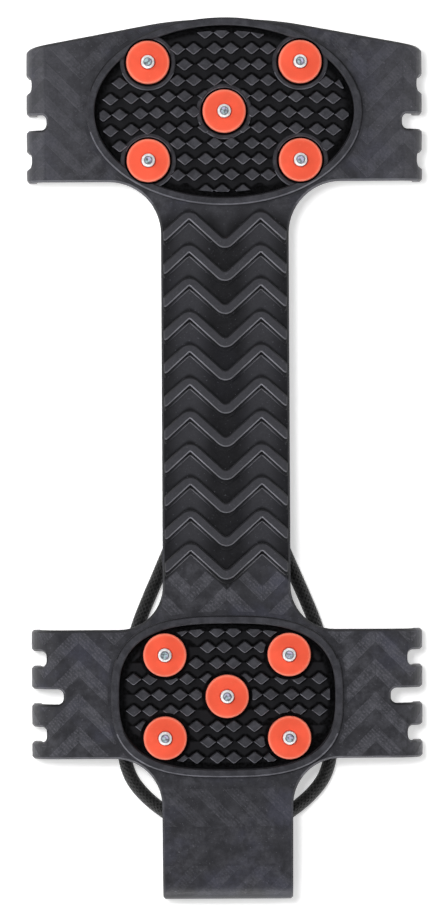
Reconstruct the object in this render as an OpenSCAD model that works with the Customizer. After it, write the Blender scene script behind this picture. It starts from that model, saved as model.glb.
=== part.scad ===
// Ice cleat: a studded rubber overshoe, lying on its foot side with the tread up.
// X runs across the sole, Y towards the toe, Z up out of the tread. Millimetres.

/* [Web] */
// Thickness of the rubber web that makes the shank, arms and tab
web_t = 3.4; // [2.6:0.1:4.4]
// Height of the foot-side face above the surface that the curled ends stand on
stand_h = 12; // [10:0.5:18]
// Distance between the centres of the two pads
pad_spacing = 193; // [150:1:240]

/* [Forefoot pad] */
// Radius of the curve across the toe
toe_curve = 134; // [100:1:200]
// Width of the forefoot pad over its rim
forefoot_w = 91; // [76:0.5:110]
// Length of the forefoot pad over its rim
forefoot_l = 62; // [52:0.5:74]
// Sideways distance of the outer forefoot studs from the centreline
forefoot_stud_x = 25.1; // [20:0.1:28]
// Lengthways distance of the outer forefoot studs from the pad's centre
forefoot_stud_y = 16.2; // [14:0.1:18]

/* [Heel pad] */
// Width of the heel pad over its rim
heel_w = 76.6; // [64:0.5:92]
// Length of the heel pad over its rim
heel_l = 53.4; // [44:0.5:64]
// Squareness of the heel pad's outline, where 2 is an ellipse
heel_square = 2.8; // [2:0.1:3.6]
// Sideways distance of the outer heel studs from the centreline
heel_stud_x = 20.5; // [17:0.1:23]
// Lengthways distance of the outer heel studs from the pad's centre
heel_stud_y = 13.7; // [12:0.1:15]

/* [Tread] */
// Width of the raised rim round each pad
rim_w = 2.75; // [2.4:0.05:4.5]
// Height of the rim above the web
rim_h = 2.2; // [1.4:0.1:3.2]
// Width of the bevel on the rim's edges
rim_bevel = 0.5; // [0.3:0.1:1]
// Thickness of the rubber under the recessed tread floor
floor_t = 2.6; // [2:0.1:3.2]
// Height of the diamond lugs above the tread floor
lug_h = 2.4; // [1.4:0.1:3]
// Width of one diamond lug
lug_w = 5.3; // [3.5:0.1:5.4]
// Length of one diamond lug
lug_l = 4.2; // [2.5:0.1:4.6]
// Distance between rows of lugs
lug_row = 5.2; // [4.8:0.1:7]
// Gap between the two lugs of a pair
lug_gap = 0.1; // [0.1:0.1:1]
// Gap between pairs, beyond the gap in a pair
pair_gap = 1.45; // [0.4:0.05:3]
// Gap between the lugs and the rim
lug_margin = 1.65; // [0.5:0.05:2.5]
// Gap between the lugs and the wells
lug_clear = 0.6; // [0.2:0.1:2]
// Sideways place of the forefoot's lug rows
forefoot_lug_x = -0.4; // [-2:0.1:2]
// Sideways place of the heel's lug rows
heel_lug_x = -0.6; // [-2:0.1:2]
// Lengthways place of the heel's lug rows
heel_lug_y = 0.6; // [-2:0.1:2]
// Radius of the curve that the forefoot's lug rows follow
lug_row_curve = 625; // [300:25:2000]

/* [Shank] */
// Width of the shank
shank_w = 42.2; // [34:0.1:50]
// Number of W-shaped ribs
rib_count = 11; // [5:1:13]
// Distance from the toe's bending line to the first rib's inner corners
rib_front = 3.2; // [3:0.1:8]
// Distance from the last rib's inner corners to the heel end of the shank
rib_back = 16.7; // [14:0.1:24]
// Sideways distance of a rib's peaks from the centreline
rib_peak_x = 11.8; // [9:0.1:13]
// Flat border between a rib's ends and the shank's sides
rib_border = 0.7; // [0.5:0.1:3]
// Width of a rib, square to its run
rib_w = 3; // [2:0.1:3.6]
// Height of a rib above the web
rib_h = 1.9; // [1:0.1:3]
// Angle of a rib's runs to the width of the sole
rib_angle = 42.5; // [34:0.5:46]
// Radius of a rib's outer corners at its peaks
rib_peak_round = 4.2; // [1:0.1:5]
// Radius of a rib's outer corner at its valley
rib_valley_round = 3.8; // [2:0.1:5]
// Radius of a rib's inner corner at its valley
rib_inner_round = 1.6; // [0.5:0.1:2]
// Reach of the low step along the heel side of a rib
rib_step_w = 1.4; // [0.8:0.1:2]
// Height of that step above the web
rib_step_h = 0.5; // [0.3:0.1:1]

/* [Arms] */
// Width over the ends of the forefoot arms
forefoot_span = 130.8; // [120:0.2:150]
// Distance from the forefoot pad's centre back to the arms' rear edge
forefoot_arm_low = 23.1; // [18:0.1:28]
// Distance from the forefoot pad's centre back to the arms' middle slot
forefoot_slot_back = 3.4; // [0:0.1:5]
// Slope of the forefoot arms' front edges in degrees
forefoot_arm_slope = 10.5; // [4:0.5:14]
// Outer radius of the forefoot arms' curl
forefoot_curl = 6.7; // [5:0.1:9]
// Width over the ends of the heel arms
heel_span = 129.4; // [118:0.2:146]
// Width of the heel arms along the sole
heel_arm_w = 42.6; // [38:0.2:50]
// Distance that the heel arms sit ahead of the heel pad's centre
heel_arm_ahead = 0.7; // [-2:0.1:2]
// Outer radius of the heel arms' curl
heel_curl = 9.7; // [7:0.1:11]
// Width of a cord slot
slot_w = 5; // [4.4:0.1:6]
// Spacing of the cord slots along an arm's end
slot_pitch = 12.5; // [11:0.1:13.5]
// How much further the middle slot runs in than the outer two, along the curl
slot_extra = 6.2; // [3:0.1:8]
// Where the forefoot arms' middle slot starts, along the curl from its beginning
forefoot_slot_start = 0; // [-3:0.1:2]
// Where the heel arms' middle slot starts, along the curl from its beginning
heel_slot_start = -1; // [-3:0.1:2]

/* [Fillets] */
// Radius between the forefoot arms and the shank
forefoot_fillet = 17.2; // [10:0.1:18]
// Radius between the shank and the heel arms
heel_fillet = 14.5; // [8:0.1:16]
// Radius between the heel arms and the tab
tab_fillet = 15.5; // [8:0.1:16]

/* [Heel tab] */
// Width of the heel tab
tab_w = 43.4; // [36:0.2:52]
// Length of the heel tab behind the heel pad
tab_l = 40.6; // [36:0.2:52]
// Outer radius of the tab's curl
tab_curl = 6; // [5:0.1:9]
// Narrowing of the tab on each side towards its end
tab_taper = 0.3; // [0:0.1:2]
// Length of the moulded keeper that holds the cord
keeper_l = 14; // [8:0.5:16]
// Distance from the tab's bending line back to the keeper
keeper_back = 14.55; // [10:0.05:18]
// Rubber round the cord in the keeper
keeper_wall = 1.6; // [1:0.1:2.4]

/* [Studs] */
// Diameter of a coloured washer
washer_d = 14.3; // [11:0.1:16]
// Thickness of a washer
washer_t = 3.4; // [2.4:0.1:4.4]
// Diameter of the steel stud
stud_d = 4.4; // [4:0.1:6]
// Height of the steel stud above its washer
stud_h = 2.4; // [1.4:0.1:4]
// Diameter of the stud's flange on the foot side
flange_d = 11; // [8:0.1:13]
// Thickness of the stud's flange
flange_t = 1; // [0.8:0.1:1.2]
// Diameter of the carbide tip
tip_d = 2.7; // [2:0.1:3.4]
// Height of the carbide tip above the stud
tip_h = 1.2; // [0.6:0.1:2]
// Depth of the carbide tip in the stud
tip_depth = 3.4; // [2:0.1:4]
// Bevel on a washer's top edge
washer_bevel = 0.6; // [0.3:0.1:1.2]
// Bevel on the top edges of a stud and its tip
stud_bevel = 0.4; // [0.2:0.1:0.6]
// Gap in the tread round a washer
well_gap = 0.65; // [0.4:0.05:1]
// Width of the rubber collar round a forefoot well
collar_w = 1.4; // [0.8:0.1:2]
// Drop of the collars below the lugs
collar_drop = 0.6; // [0.2:0.1:1]

/* [Cord] */
// Diameter of the elastic cord
cord_d = 4.5; // [3:0.1:5]
// Length of the ferrule that joins the cord's ends
ferrule_l = 12; // [8:0.5:14]
// Wall of the ferrule
ferrule_wall = 0.6; // [0.4:0.1:0.8]

/* [Fits] */
// Clearance where two pieces turn on each other
turn_gap = 0.3; // [0.2:0.05:0.5]
// Clearance round pressed-in pieces
press_gap = 0.04; // [0.02:0.01:0.1]
// Depth of a stud's flange below the foot-side face
flange_sink = 0.2; // [0.1:0.05:0.4]

/* [Hidden] */
$fn = 64;
// Small overlap that makes two shapes of one piece fuse
weld = 0.2;
// Reach of a cutting shape past what it cuts
past = 30;

// Heights
web_top = stand_h + web_t;
web_mid = stand_h + web_t / 2;
rim_top = web_top + rim_h;
tread_z = stand_h + floor_t;
stud_top = tread_z + washer_t + stud_h;
flange_z = stand_h + flange_sink;

// Places along the sole, with the whole length centred on the origin
overall_l = forefoot_l / 2 + pad_spacing + heel_l / 2 + tab_l;
toe_y = overall_l / 2;
forefoot_y = toe_y - forefoot_l / 2;
heel_y = forefoot_y - pad_spacing;
tab_end_y = -overall_l / 2;
forefoot_arm_y = forefoot_y - forefoot_arm_low;
heel_arm_front = heel_y + heel_arm_w / 2 + heel_arm_ahead;
heel_arm_back = heel_arm_front - heel_arm_w;

// Bending lines: each is a round edge in a hollow seat
knuckle_r = web_t / 2;
seat_r = knuckle_r + turn_gap;
// Distance from the forefoot's rim to the toe's bending line
toe_line_off = 1.4;
toe_line_y = forefoot_y - forefoot_l / 2 - toe_line_off;
forefoot_line_x = forefoot_w / 2 + seat_r;
heel_line_x = heel_w / 2 + seat_r;
tab_line_y = heel_y - heel_l / 2 - seat_r;
// Furthest turns towards the foot side and towards the tread that a seat leaves room for
turn_in = 95;
turn_out = 25;
// Distance from the heel's rim to the end of the shank
shank_off = 4.6;
shank_end_y = heel_y + heel_l / 2 + shank_off;

arc_steps = 12;
well_d = washer_d + 2 * well_gap;
collar_d = well_d + 2 * collar_w;

// Lug pattern: pairs of lugs, with every second row shifted by half a lug
// Parts of lugs that reach less than this past a trimmed edge are left out
lug_crumb = 0.9;
lug_clear_d = well_d + 2 * lug_clear;
lug_step = lug_w + lug_gap;
pair_step = 2 * lug_step + pair_gap;
row_shift = pair_step / 4;

// Rib pattern: a zigzag whose outer corners are round
rib_end_x = shank_w / 2 - rib_border;
rib_first_y = toe_line_y - rib_front;
rib_pitch = (rib_first_y - rib_back - shank_end_y) / (rib_count - 1);

// Cord route on the right side, from the ferrule to the keeper, along the cord's middle line.
// Its points are [across, ahead of the keeper, above the floor].
half_route = [
    [0.2, 108.2, 3.2],
    [6, 108.2, 3.2],
    [9, 107.6, 3.2],
    [11.8, 106, 3.1],
    [14.2, 102.6, 2.9],
    [17, 96.1, 2.6],
    [20, 89.1, 2.5],
    [23, 82.1, 2.4],
    [25.7, 75.9, 2.4],
    [28.9, 68, 2.4],
    [31.5, 59.6, 2.4],
    [33.5, 49.6, 2.4],
    [34.5, 38.6, 2.4],
    [34.6, 27.6, 2.4],
    [33.9, 21.6, 2.4],
    [32.6, 17.2, 2.4],
    [30.6, 13.6, 2.5],
    [27.6, 10.1, 2.8],
    [24, 6.9, 3.6],
    [20, 4.1, 5],
    [16, 1.9, 6.8],
    [12, 0.5, 8.1],
    [8, 0, 8.6]
];
cord_sides = 12;

// Cord keeper under the tab, at the height of the cord
keeper_r = cord_d / 2 + turn_gap;
keeper_z = half_route[len(half_route) - 1].z;
keeper_y = tab_line_y - keeper_back;

// Names of the pieces
stud_count = 5;

// Colours
rubber = [0.16, 0.16, 0.18];
orange = [0.94, 0.38, 0.26];
steel = [0.78, 0.8, 0.83];
carbide = [0.5, 0.53, 0.58];
sheath = [0.1, 0.1, 0.1];

// Points on an arc round a centre
function arc(c, r, from, to, steps = arc_steps) =
    [for (i = [0:steps]) let (a = from + (to - from) * i / steps) c + r * [cos(a), sin(a)]];

// Points of an oval whose power sets how square it is
function oval(w, l, power, steps = 96) =
    [for (i = [0:steps - 1]) let (a = 360 * i / steps, c = cos(a), s = sin(a))
        [w / 2 * sign(c) * pow(abs(c), 2 / power), l / 2 * sign(s) * pow(abs(s), 2 / power)]];

// A closed outline from its right half
function both_sides(half) =
    concat(half, [for (i = [len(half) - 1:-1:0]) [-half[i].x, half[i].y]]);

// Places of the studs on a pad: four corners and the middle
function stud_places(x, y) = [[-x, y], [x, y], [0, 0], [-x, -y], [x, -y]];

forefoot_studs = [for (p = stud_places(forefoot_stud_x, forefoot_stud_y)) p + [0, forefoot_y]];
heel_studs = [for (p = stud_places(heel_stud_x, heel_stud_y)) p + [0, heel_y]];

// The whole web seen from above, before its ends curl
module web_outline() {
    slope = forefoot_arm_slope;
    toe_end = [0, toe_y - toe_curve] + toe_curve * [sin(slope), cos(slope)];
    reach = forefoot_span / 2;
    tip_y = toe_end.y - (reach - toe_end.x) * tan(slope);
    half = concat(
        arc([0, toe_y - toe_curve], toe_curve, 90, 90 - slope),
        [[reach, tip_y], [reach, forefoot_arm_y]],
        arc([shank_w / 2 + forefoot_fillet, forefoot_arm_y - forefoot_fillet], forefoot_fillet, 90, 180),
        arc([shank_w / 2 + heel_fillet, heel_arm_front + heel_fillet], heel_fillet, 180, 270),
        [[heel_span / 2, heel_arm_front], [heel_span / 2, heel_arm_back]],
        arc([tab_w / 2 + tab_fillet, heel_arm_back - tab_fillet], tab_fillet, 90, 180),
        [[tab_w / 2 - tab_taper, tab_end_y]]
    );
    polygon(both_sides(half));
}

// The part of the web between two places along the sole, within a half width
module web_between(y_low, y_high, half_w) {
    intersection() {
        web_outline();
        translate([-half_w, y_low]) square([2 * half_w, y_high - y_low]);
    }
}

// Room for a round edge and its strip to turn in, as a cut round its bending line at the origin.
// The carrying piece lies towards -X, and the foot side is -Z.
module seat_cut() {
    line_r = knuckle_r + turn_gap / 2;
    low = line_r * [-sin(turn_in), -cos(turn_in)];
    high = line_r * [-sin(turn_out), cos(turn_out)];
    low_end = low + past * [cos(turn_in), -sin(turn_in)];
    high_end = high + past * [cos(turn_out), sin(turn_out)];
    rotate([90, 0, 0]) linear_extrude(overall_l, center = true) {
        circle(seat_r);
        polygon([low, low_end, [2 * past, low_end.y], [2 * past, high_end.y], high_end, high]);
    }
}

// Seat cuts for a piece that leaves to the right, to the left and towards the heel
module seat_right(x, y) {
    translate([x, y, web_mid]) seat_cut();
}

module seat_left(x, y) {
    translate([-x, y, web_mid]) mirror([1, 0, 0]) seat_cut();
}

module seat_back(y) {
    translate([0, y, web_mid]) rotate([0, 0, -90]) seat_cut();
}

// A strip that runs out along +X from its round edge at x0 and curls down to the floor at x1
module curled_strip(x0, x1, curl, width) {
    inner = curl - web_t;
    cx = x1 - curl;
    cz = web_top - curl;
    rotate([90, 0, 0]) linear_extrude(width, center = true) {
        translate([x0, web_mid]) circle(knuckle_r);
        translate([x0, stand_h]) square([cx - x0, web_t]);
        intersection() {
            difference() {
                translate([cx, cz]) circle(curl);
                translate([cx, cz]) circle(inner);
            }
            translate([cx, cz]) square(curl);
        }
        translate([cx + inner, 0]) square([web_t, cz]);
    }
}

// A cord slot through a curled strip: it starts at an angle round the curl and runs out of the end
module slot_cut(x1, curl, y, angle) {
    cx = x1 - curl;
    cz = web_top - curl;
    translate([cx, y, cz]) {
        rotate([90, 0, 0]) linear_extrude(slot_w, center = true)
            polygon([
                [0, 0],
                past * [sin(angle), cos(angle)],
                [past, past * cos(angle)],
                [past, -past],
                [0, -past]
            ]);
        rotate([0, angle, 0]) cylinder(h = past, d = slot_w);
    }
}

// Angle round a curl at which a slot's round end has its centre
function slot_angle(curl, start) = (start + slot_w / 2) / curl * 180 / PI;

// One slotted arm on the right side
module arm(line_x, span, curl, middle_y, start, y_low, y_high) {
    x1 = span / 2;
    difference() {
        intersection() {
            translate([0, middle_y, 0]) curled_strip(line_x, x1, curl, 4 * past);
            linear_extrude(2 * past) intersection() {
                web_outline();
                translate([line_x - web_t, y_low]) square([span, y_high - y_low]);
            }
        }
        slot_cut(x1, curl, middle_y, slot_angle(curl, start));
        for (side = [-1, 1])
            slot_cut(x1, curl, middle_y + side * slot_pitch, slot_angle(curl, start + slot_extra));
    }
}

module forefoot_arm() {
    arm(forefoot_line_x, forefoot_span, forefoot_curl, forefoot_y - forefoot_slot_back, forefoot_slot_start,
        forefoot_arm_y - weld, toe_y);
}

module heel_arm() {
    arm(heel_line_x, heel_span, heel_curl, heel_y, heel_slot_start,
        heel_arm_back - weld, heel_arm_front + weld);
}

module forefoot_arm_right() {
    color(rubber) forefoot_arm();
}

module forefoot_arm_left() {
    color(rubber) mirror([1, 0, 0]) forefoot_arm();
}

module heel_arm_right() {
    color(rubber) heel_arm();
}

module heel_arm_left() {
    color(rubber) mirror([1, 0, 0]) heel_arm();
}

// One diamond lug, seen from above
module diamond() {
    polygon([[-lug_w / 2, 0], [0, -lug_l / 2], [lug_w / 2, 0], [0, lug_l / 2]]);
}

// Whether a point lies in an oval
function in_oval(p, w, l, power) =
    pow(abs(2 * p.x / w), power) + pow(abs(2 * p.y / l), power) < 1;

// Whether a point lies clear of every stud's circle
function clear_of(p, studs, d) = min([for (s = studs) norm(p - s)]) > d / 2;

// Rows of lug pairs over an oval, centred on the origin; the rows bow by their square share of bow
module lug_field(w, l, power, studs, at, bow) {
    rows = ceil(l / 2 / lug_row);
    pairs = ceil(w / 2 / pair_step) + 1;
    for (r = [-rows:rows], p = [-pairs:pairs], side = [-1, 1]) {
        x = at.x + p * pair_step + (r % 2 == 0 ? 0 : -row_shift) + side * lug_step / 2;
        spot = [x, at.y + r * lug_row - bow * x * x];
        if (in_oval(spot, w + lug_crumb, l + lug_crumb, power) && clear_of(spot, studs, lug_clear_d - lug_crumb))
            translate(spot) diamond();
    }
}

// Rim, recessed floor and lugs of a pad, centred on the origin
module tread(w, l, power, studs, at, bow) {
    in_w = w - 2 * rim_w;
    in_l = l - 2 * rim_w;
    lug_area_w = in_w - 2 * lug_margin;
    lug_area_l = in_l - 2 * lug_margin;
    difference() {
        hull() {
            translate([0, 0, web_top - weld])
                linear_extrude(rim_h + weld - rim_bevel) polygon(oval(w, l, power));
            translate([0, 0, rim_top - weld])
                linear_extrude(weld) polygon(oval(w - 2 * rim_bevel, l - 2 * rim_bevel, power));
        }
        translate([0, 0, tread_z]) linear_extrude(past) polygon(oval(in_w, in_l, power));
    }
    translate([0, 0, tread_z - weld]) linear_extrude(lug_h + weld) intersection() {
        lug_field(lug_area_w, lug_area_l, power, studs, at, bow);
        difference() {
            polygon(oval(lug_area_w, lug_area_l, power));
            for (p = studs) translate(p) circle(d = lug_clear_d);
        }
    }
}

// Holes through a pad for its studs, with wells for their washers and counterbores for their flanges
module stud_holes(places) {
    for (p = places) translate([p.x, p.y, 0]) {
        cylinder(h = 2 * past, d = stud_d + 2 * press_gap);
        translate([0, 0, tread_z]) cylinder(h = past, d = well_d);
        cylinder(h = flange_z + flange_t, d = flange_d + 2 * press_gap);
    }
}

module forefoot_pad() {
    power = 2;
    color(rubber) difference() {
        union() {
            difference() {
                translate([0, 0, stand_h]) linear_extrude(web_t)
                    web_between(toe_line_y, toe_y + weld, forefoot_line_x);
                translate([0, forefoot_y, tread_z]) linear_extrude(past)
                    polygon(oval(forefoot_w - 2 * rim_w, forefoot_l - 2 * rim_w, power));
            }
            translate([0, forefoot_y, 0])
                tread(forefoot_w, forefoot_l, power, stud_places(forefoot_stud_x, forefoot_stud_y),
                    [forefoot_lug_x, 0], 1 / (2 * lug_row_curve));
            intersection() {
                for (p = forefoot_studs) translate([p.x, p.y, tread_z - weld])
                    cylinder(h = lug_h - collar_drop + weld, d = collar_d);
                translate([0, forefoot_y, 0]) linear_extrude(2 * past)
                    polygon(oval(forefoot_w - 2 * weld, forefoot_l - 2 * weld, power));
            }
        }
        stud_holes(forefoot_studs);
        seat_right(forefoot_line_x, forefoot_y);
        seat_left(forefoot_line_x, forefoot_y);
        seat_back(toe_line_y);
    }
}

module heel_pad() {
    color(rubber) difference() {
        union() {
            difference() {
                translate([0, 0, stand_h]) linear_extrude(web_t)
                    web_between(tab_line_y, shank_end_y, heel_line_x);
                translate([0, heel_y, tread_z]) linear_extrude(past)
                    polygon(oval(heel_w - 2 * rim_w, heel_l - 2 * rim_w, heel_square));
            }
            translate([0, heel_y, 0])
                tread(heel_w, heel_l, heel_square, stud_places(heel_stud_x, heel_stud_y),
                    [heel_lug_x, heel_lug_y], 0);
        }
        stud_holes(heel_studs);
        seat_right(heel_line_x, heel_y);
        seat_left(heel_line_x, heel_y);
        seat_back(tab_line_y);
    }
}

// One rib seen from above: a W whose outer corners are round.
// Its peaks' inner corners lie on the X axis.
module rib() {
    a = rib_angle;
    rise = rib_w / cos(a);
    valley = -rib_peak_x * tan(a);
    end_drop = (rib_end_x - rib_peak_x) * tan(a);
    half = concat(
        arc([0, valley + rib_valley_round / cos(a)], rib_valley_round, 270, 270 + a, 6),
        [[rib_peak_x, 0]],
        [[rib_end_x, -end_drop], [rib_end_x, -end_drop + rise]],
        arc([rib_peak_x, rise - rib_peak_round / cos(a)], rib_peak_round, 90 - a, 90 + a, 8),
        arc([0, valley + rise + rib_inner_round / cos(a)], rib_inner_round, 270 + a, 270, 4)
    );
    polygon(half);
    mirror([1, 0]) polygon(half);
}

module shank() {
    color(rubber) {
        translate([0, 0, stand_h]) linear_extrude(web_t)
            web_between(shank_end_y, toe_line_y, shank_w);
        intersection() {
            translate([0, toe_line_y, web_mid]) rotate([0, 90, 0])
                cylinder(h = 2 * shank_w, r = knuckle_r, center = true);
            linear_extrude(2 * past) web_between(toe_line_y - web_t, toe_line_y + web_t, shank_w);
        }
        for (i = [0:rib_count - 1]) translate([0, rib_first_y - i * rib_pitch, web_top - weld]) {
            linear_extrude(rib_h + weld) rib();
            translate([0, -rib_step_w]) linear_extrude(rib_step_h + weld) rib();
        }
    }
}

// Keeper under the tab: a moulded loop with a bore along X
module keeper() {
    outer = keeper_r + keeper_wall;
    translate([0, keeper_y, 0]) {
        translate([0, 0, keeper_z]) rotate([0, 90, 0]) cylinder(h = keeper_l, r = outer, center = true);
        translate([-keeper_l / 2, -outer, keeper_z]) cube([keeper_l, 2 * outer, stand_h - keeper_z + weld]);
    }
}

module heel_tab() {
    color(rubber) difference() {
        union() {
            intersection() {
                rotate([0, 0, -90]) curled_strip(-tab_line_y, -tab_end_y, tab_curl, 4 * past);
                linear_extrude(2 * past) web_between(tab_end_y - weld, tab_line_y + web_t, tab_w);
            }
            keeper();
        }
        translate([0, keeper_y, keeper_z]) rotate([0, 90, 0])
            cylinder(h = 2 * keeper_l, r = keeper_r, center = true);
    }
}

// A washer with a bevelled outer edge, standing on the tread floor
module washer(p) {
    bore = stud_d / 2 + press_gap;
    translate([p.x, p.y, tread_z]) rotate_extrude()
        polygon([
            [bore, 0],
            [washer_d / 2, 0],
            [washer_d / 2, washer_t - washer_bevel],
            [washer_d / 2 - washer_bevel, washer_t],
            [bore, washer_t]
        ]);
}

// A flanged stud with a blind hole for its tip
module stud(p) {
    hole = tip_d / 2 + press_gap;
    translate([p.x, p.y, 0]) rotate_extrude()
        polygon([
            [0, flange_z],
            [flange_d / 2, flange_z],
            [flange_d / 2, flange_z + flange_t],
            [stud_d / 2, flange_z + flange_t],
            [stud_d / 2, stud_top - stud_bevel],
            [stud_d / 2 - stud_bevel, stud_top],
            [hole, stud_top],
            [hole, stud_top - tip_depth],
            [0, stud_top - tip_depth]
        ]);
}

// A carbide tip standing in the stud's blind hole
module tip(p) {
    translate([p.x, p.y, stud_top - tip_depth]) rotate_extrude()
        polygon([
            [0, 0],
            [tip_d / 2, 0],
            [tip_d / 2, tip_depth + tip_h - stud_bevel],
            [tip_d / 2 - stud_bevel, tip_depth + tip_h],
            [0, tip_depth + tip_h]
        ]);
}

// Whole route of the cord: the right half, through the keeper, and the left half back
near_half = [for (p = half_route) p + [0, keeper_y, 0]];
far_half = [for (i = [len(near_half) - 1:-1:0]) [-near_half[i].x, near_half[i].y, near_half[i].z]];
route = concat(near_half, far_half);

function unit(v) = v / norm(v);

// Direction of the route at one of its points
function heading(i) =
    i == 0 ? unit(route[1] - route[0])
    : i == len(route) - 1 ? unit(route[i] - route[i - 1])
    : unit(unit(route[i + 1] - route[i]) + unit(route[i] - route[i - 1]));

// Ring of points round the route at one of its points
function ring(i) =
    let (h = heading(i), side = unit(cross(h, [0, 0, 1])), up = cross(side, h))
    [for (k = [0:cord_sides - 1]) let (a = 360 * k / cord_sides)
        route[i] + cord_d / 2 * (cos(a) * side + sin(a) * up)];

module heel_cord() {
    n = cord_sides;
    last = len(route) - 1;
    points = [for (i = [0:last], p = ring(i)) p];
    walls = [for (i = [0:last - 1], k = [0:n - 1]) let (j = (k + 1) % n)
        [i * n + k, i * n + j, (i + 1) * n + j, (i + 1) * n + k]];
    start_cap = [for (k = [n - 1:-1:0]) k];
    end_cap = [for (k = [0:n - 1]) last * n + k];
    color(sheath) polyhedron(points, concat(walls, [start_cap, end_cap]));
}

module cord_ferrule() {
    bore = cord_d + 2 * press_gap;
    color(steel) translate([0, near_half[0].y, near_half[0].z]) rotate([0, 90, 0]) difference() {
        cylinder(h = ferrule_l, d = bore + 2 * ferrule_wall, center = true);
        cylinder(h = 2 * ferrule_l, d = bore, center = true);
    }
}

forefoot_pad();
shank();
heel_pad();
forefoot_arm_left();
forefoot_arm_right();
heel_arm_left();
heel_arm_right();
heel_tab();
heel_cord();
cord_ferrule();
for (i = [1:stud_count]) {
    color(orange) washer(forefoot_studs[i - 1]);
    color(steel) stud(forefoot_studs[i - 1]);
    color(carbide) tip(forefoot_studs[i - 1]);
    color(orange) washer(heel_studs[i - 1]);
    color(steel) stud(heel_studs[i - 1]);
    color(carbide) tip(heel_studs[i - 1]);
}
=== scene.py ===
"""Ice cleat: the looks of a studded rubber overshoe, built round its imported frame."""

import math

import bmesh
import bpy
from bpy.props import FloatProperty, FloatVectorProperty, IntProperty, PointerProperty
from bpy.types import Operator, Panel, PropertyGroup
from mathutils import Euler, Matrix, Vector


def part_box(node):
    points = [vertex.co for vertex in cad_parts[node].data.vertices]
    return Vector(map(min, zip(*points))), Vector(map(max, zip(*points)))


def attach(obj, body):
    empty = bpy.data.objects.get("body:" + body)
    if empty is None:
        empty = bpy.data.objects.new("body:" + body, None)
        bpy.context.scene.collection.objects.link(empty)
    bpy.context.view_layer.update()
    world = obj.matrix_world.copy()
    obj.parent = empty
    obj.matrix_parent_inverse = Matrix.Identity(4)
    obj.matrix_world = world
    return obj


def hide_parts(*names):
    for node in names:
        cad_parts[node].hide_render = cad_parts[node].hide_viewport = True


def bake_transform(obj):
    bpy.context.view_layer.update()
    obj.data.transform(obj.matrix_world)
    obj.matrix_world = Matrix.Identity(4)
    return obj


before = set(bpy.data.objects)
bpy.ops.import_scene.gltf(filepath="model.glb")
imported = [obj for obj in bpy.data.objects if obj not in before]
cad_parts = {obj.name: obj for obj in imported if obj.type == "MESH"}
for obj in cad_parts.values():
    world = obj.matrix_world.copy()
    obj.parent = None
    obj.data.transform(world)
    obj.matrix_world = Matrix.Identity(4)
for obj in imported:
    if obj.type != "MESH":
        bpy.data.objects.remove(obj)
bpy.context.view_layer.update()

bl_info = {
    "name": "Ice cleat",
    "version": (1, 0, 0),
    "blender": (4, 5, 0),
    "location": "3D View > Sidebar > Ice cleat",
    "description": "Builds the looks of a studded rubber ice cleat round its packed frame",
    "category": "Object",
}

MM = 0.001
# Closest that two points may lie, and slack for a height
TOUCH = 1e-7
LEVEL = 1e-6
SIDES = ("left", "right")
ENDS = ("forefoot", "heel")
STUDS = range(1, 6)


def middle(node):
    """Middle of a node's box."""
    low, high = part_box(node)
    return (low + high) / 2


# Heights and places in the frame
FOOT_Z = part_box("forefoot_pad")[0].z
WEB_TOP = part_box("heel_arm_right")[1].z
RIM_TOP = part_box("forefoot_pad")[1].z
TREAD_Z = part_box("forefoot_washer_3")[0].z
WASHER_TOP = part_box("forefoot_washer_3")[1].z
STUD_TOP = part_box("forefoot_stud_3")[1].z
TIP_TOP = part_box("forefoot_tip_3")[1].z
TOE_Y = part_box("forefoot_pad")[1].y
PAD_Y = {end: middle(f"{end}_washer_3").y for end in ENDS}
STUD_PLACES = {end: [middle(f"{end}_washer_{i}").xy for i in STUDS] for end in ENDS}

# Outlines of the pads: width, length and squareness of the oval
PAD_OVAL = {"forefoot": (91 * MM, 62 * MM, 2.0), "heel": (76.6 * MM, 53.4 * MM, 2.8)}
OVAL_STEPS = 144
# Width of the rim's underside that rests on the web
PAD_SEAT = 0.7 * MM

# Strips whose ends curl down: where the curl starts and its outer radius
CURL = {"forefoot": (58.7 * MM, 6.7 * MM), "heel": (55 * MM, 9.7 * MM), "tab": (139.65 * MM, 6 * MM)}
SLOT_ROW_Y = {"forefoot": PAD_Y["forefoot"] - 3.4 * MM, "heel": PAD_Y["heel"]}
SLOT_START = {"forefoot": 0.0, "heel": -1 * MM}
SLOT_EXTRA = 6.2 * MM
SLOT_PITCH = 12.5 * MM

# Plan of the web
TOE_RADIUS = 134 * MM
TOE_SLOPE = math.radians(10.5)
SHANK_HALF = 21.1 * MM
TAB_HALF = 21.7 * MM
TAB_END_HALF = 21.4 * MM
FOREFOOT_ARM_BACK = PAD_Y["forefoot"] - 23.1 * MM
HEEL_ARM_FRONT = PAD_Y["heel"] + 22 * MM
HEEL_ARM_BACK = PAD_Y["heel"] - 20.6 * MM
FILLETS = {"neck": 17.2 * MM, "heel": 14.5 * MM, "tab": 15.5 * MM}

# Bending lines, and how far the rubber turns on each side of one
TOE_LINE_Y = PAD_Y["forefoot"] - 32.4 * MM
TAB_LINE_Y = PAD_Y["heel"] - 28.7 * MM
ARM_LINE_X = {"forefoot": 47.5 * MM, "heel": 40.3 * MM}
BEND = 1.95 * MM
BEND_STEPS = 6
SHANK_END_Y = PAD_Y["heel"] + 27.15 * MM

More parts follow.
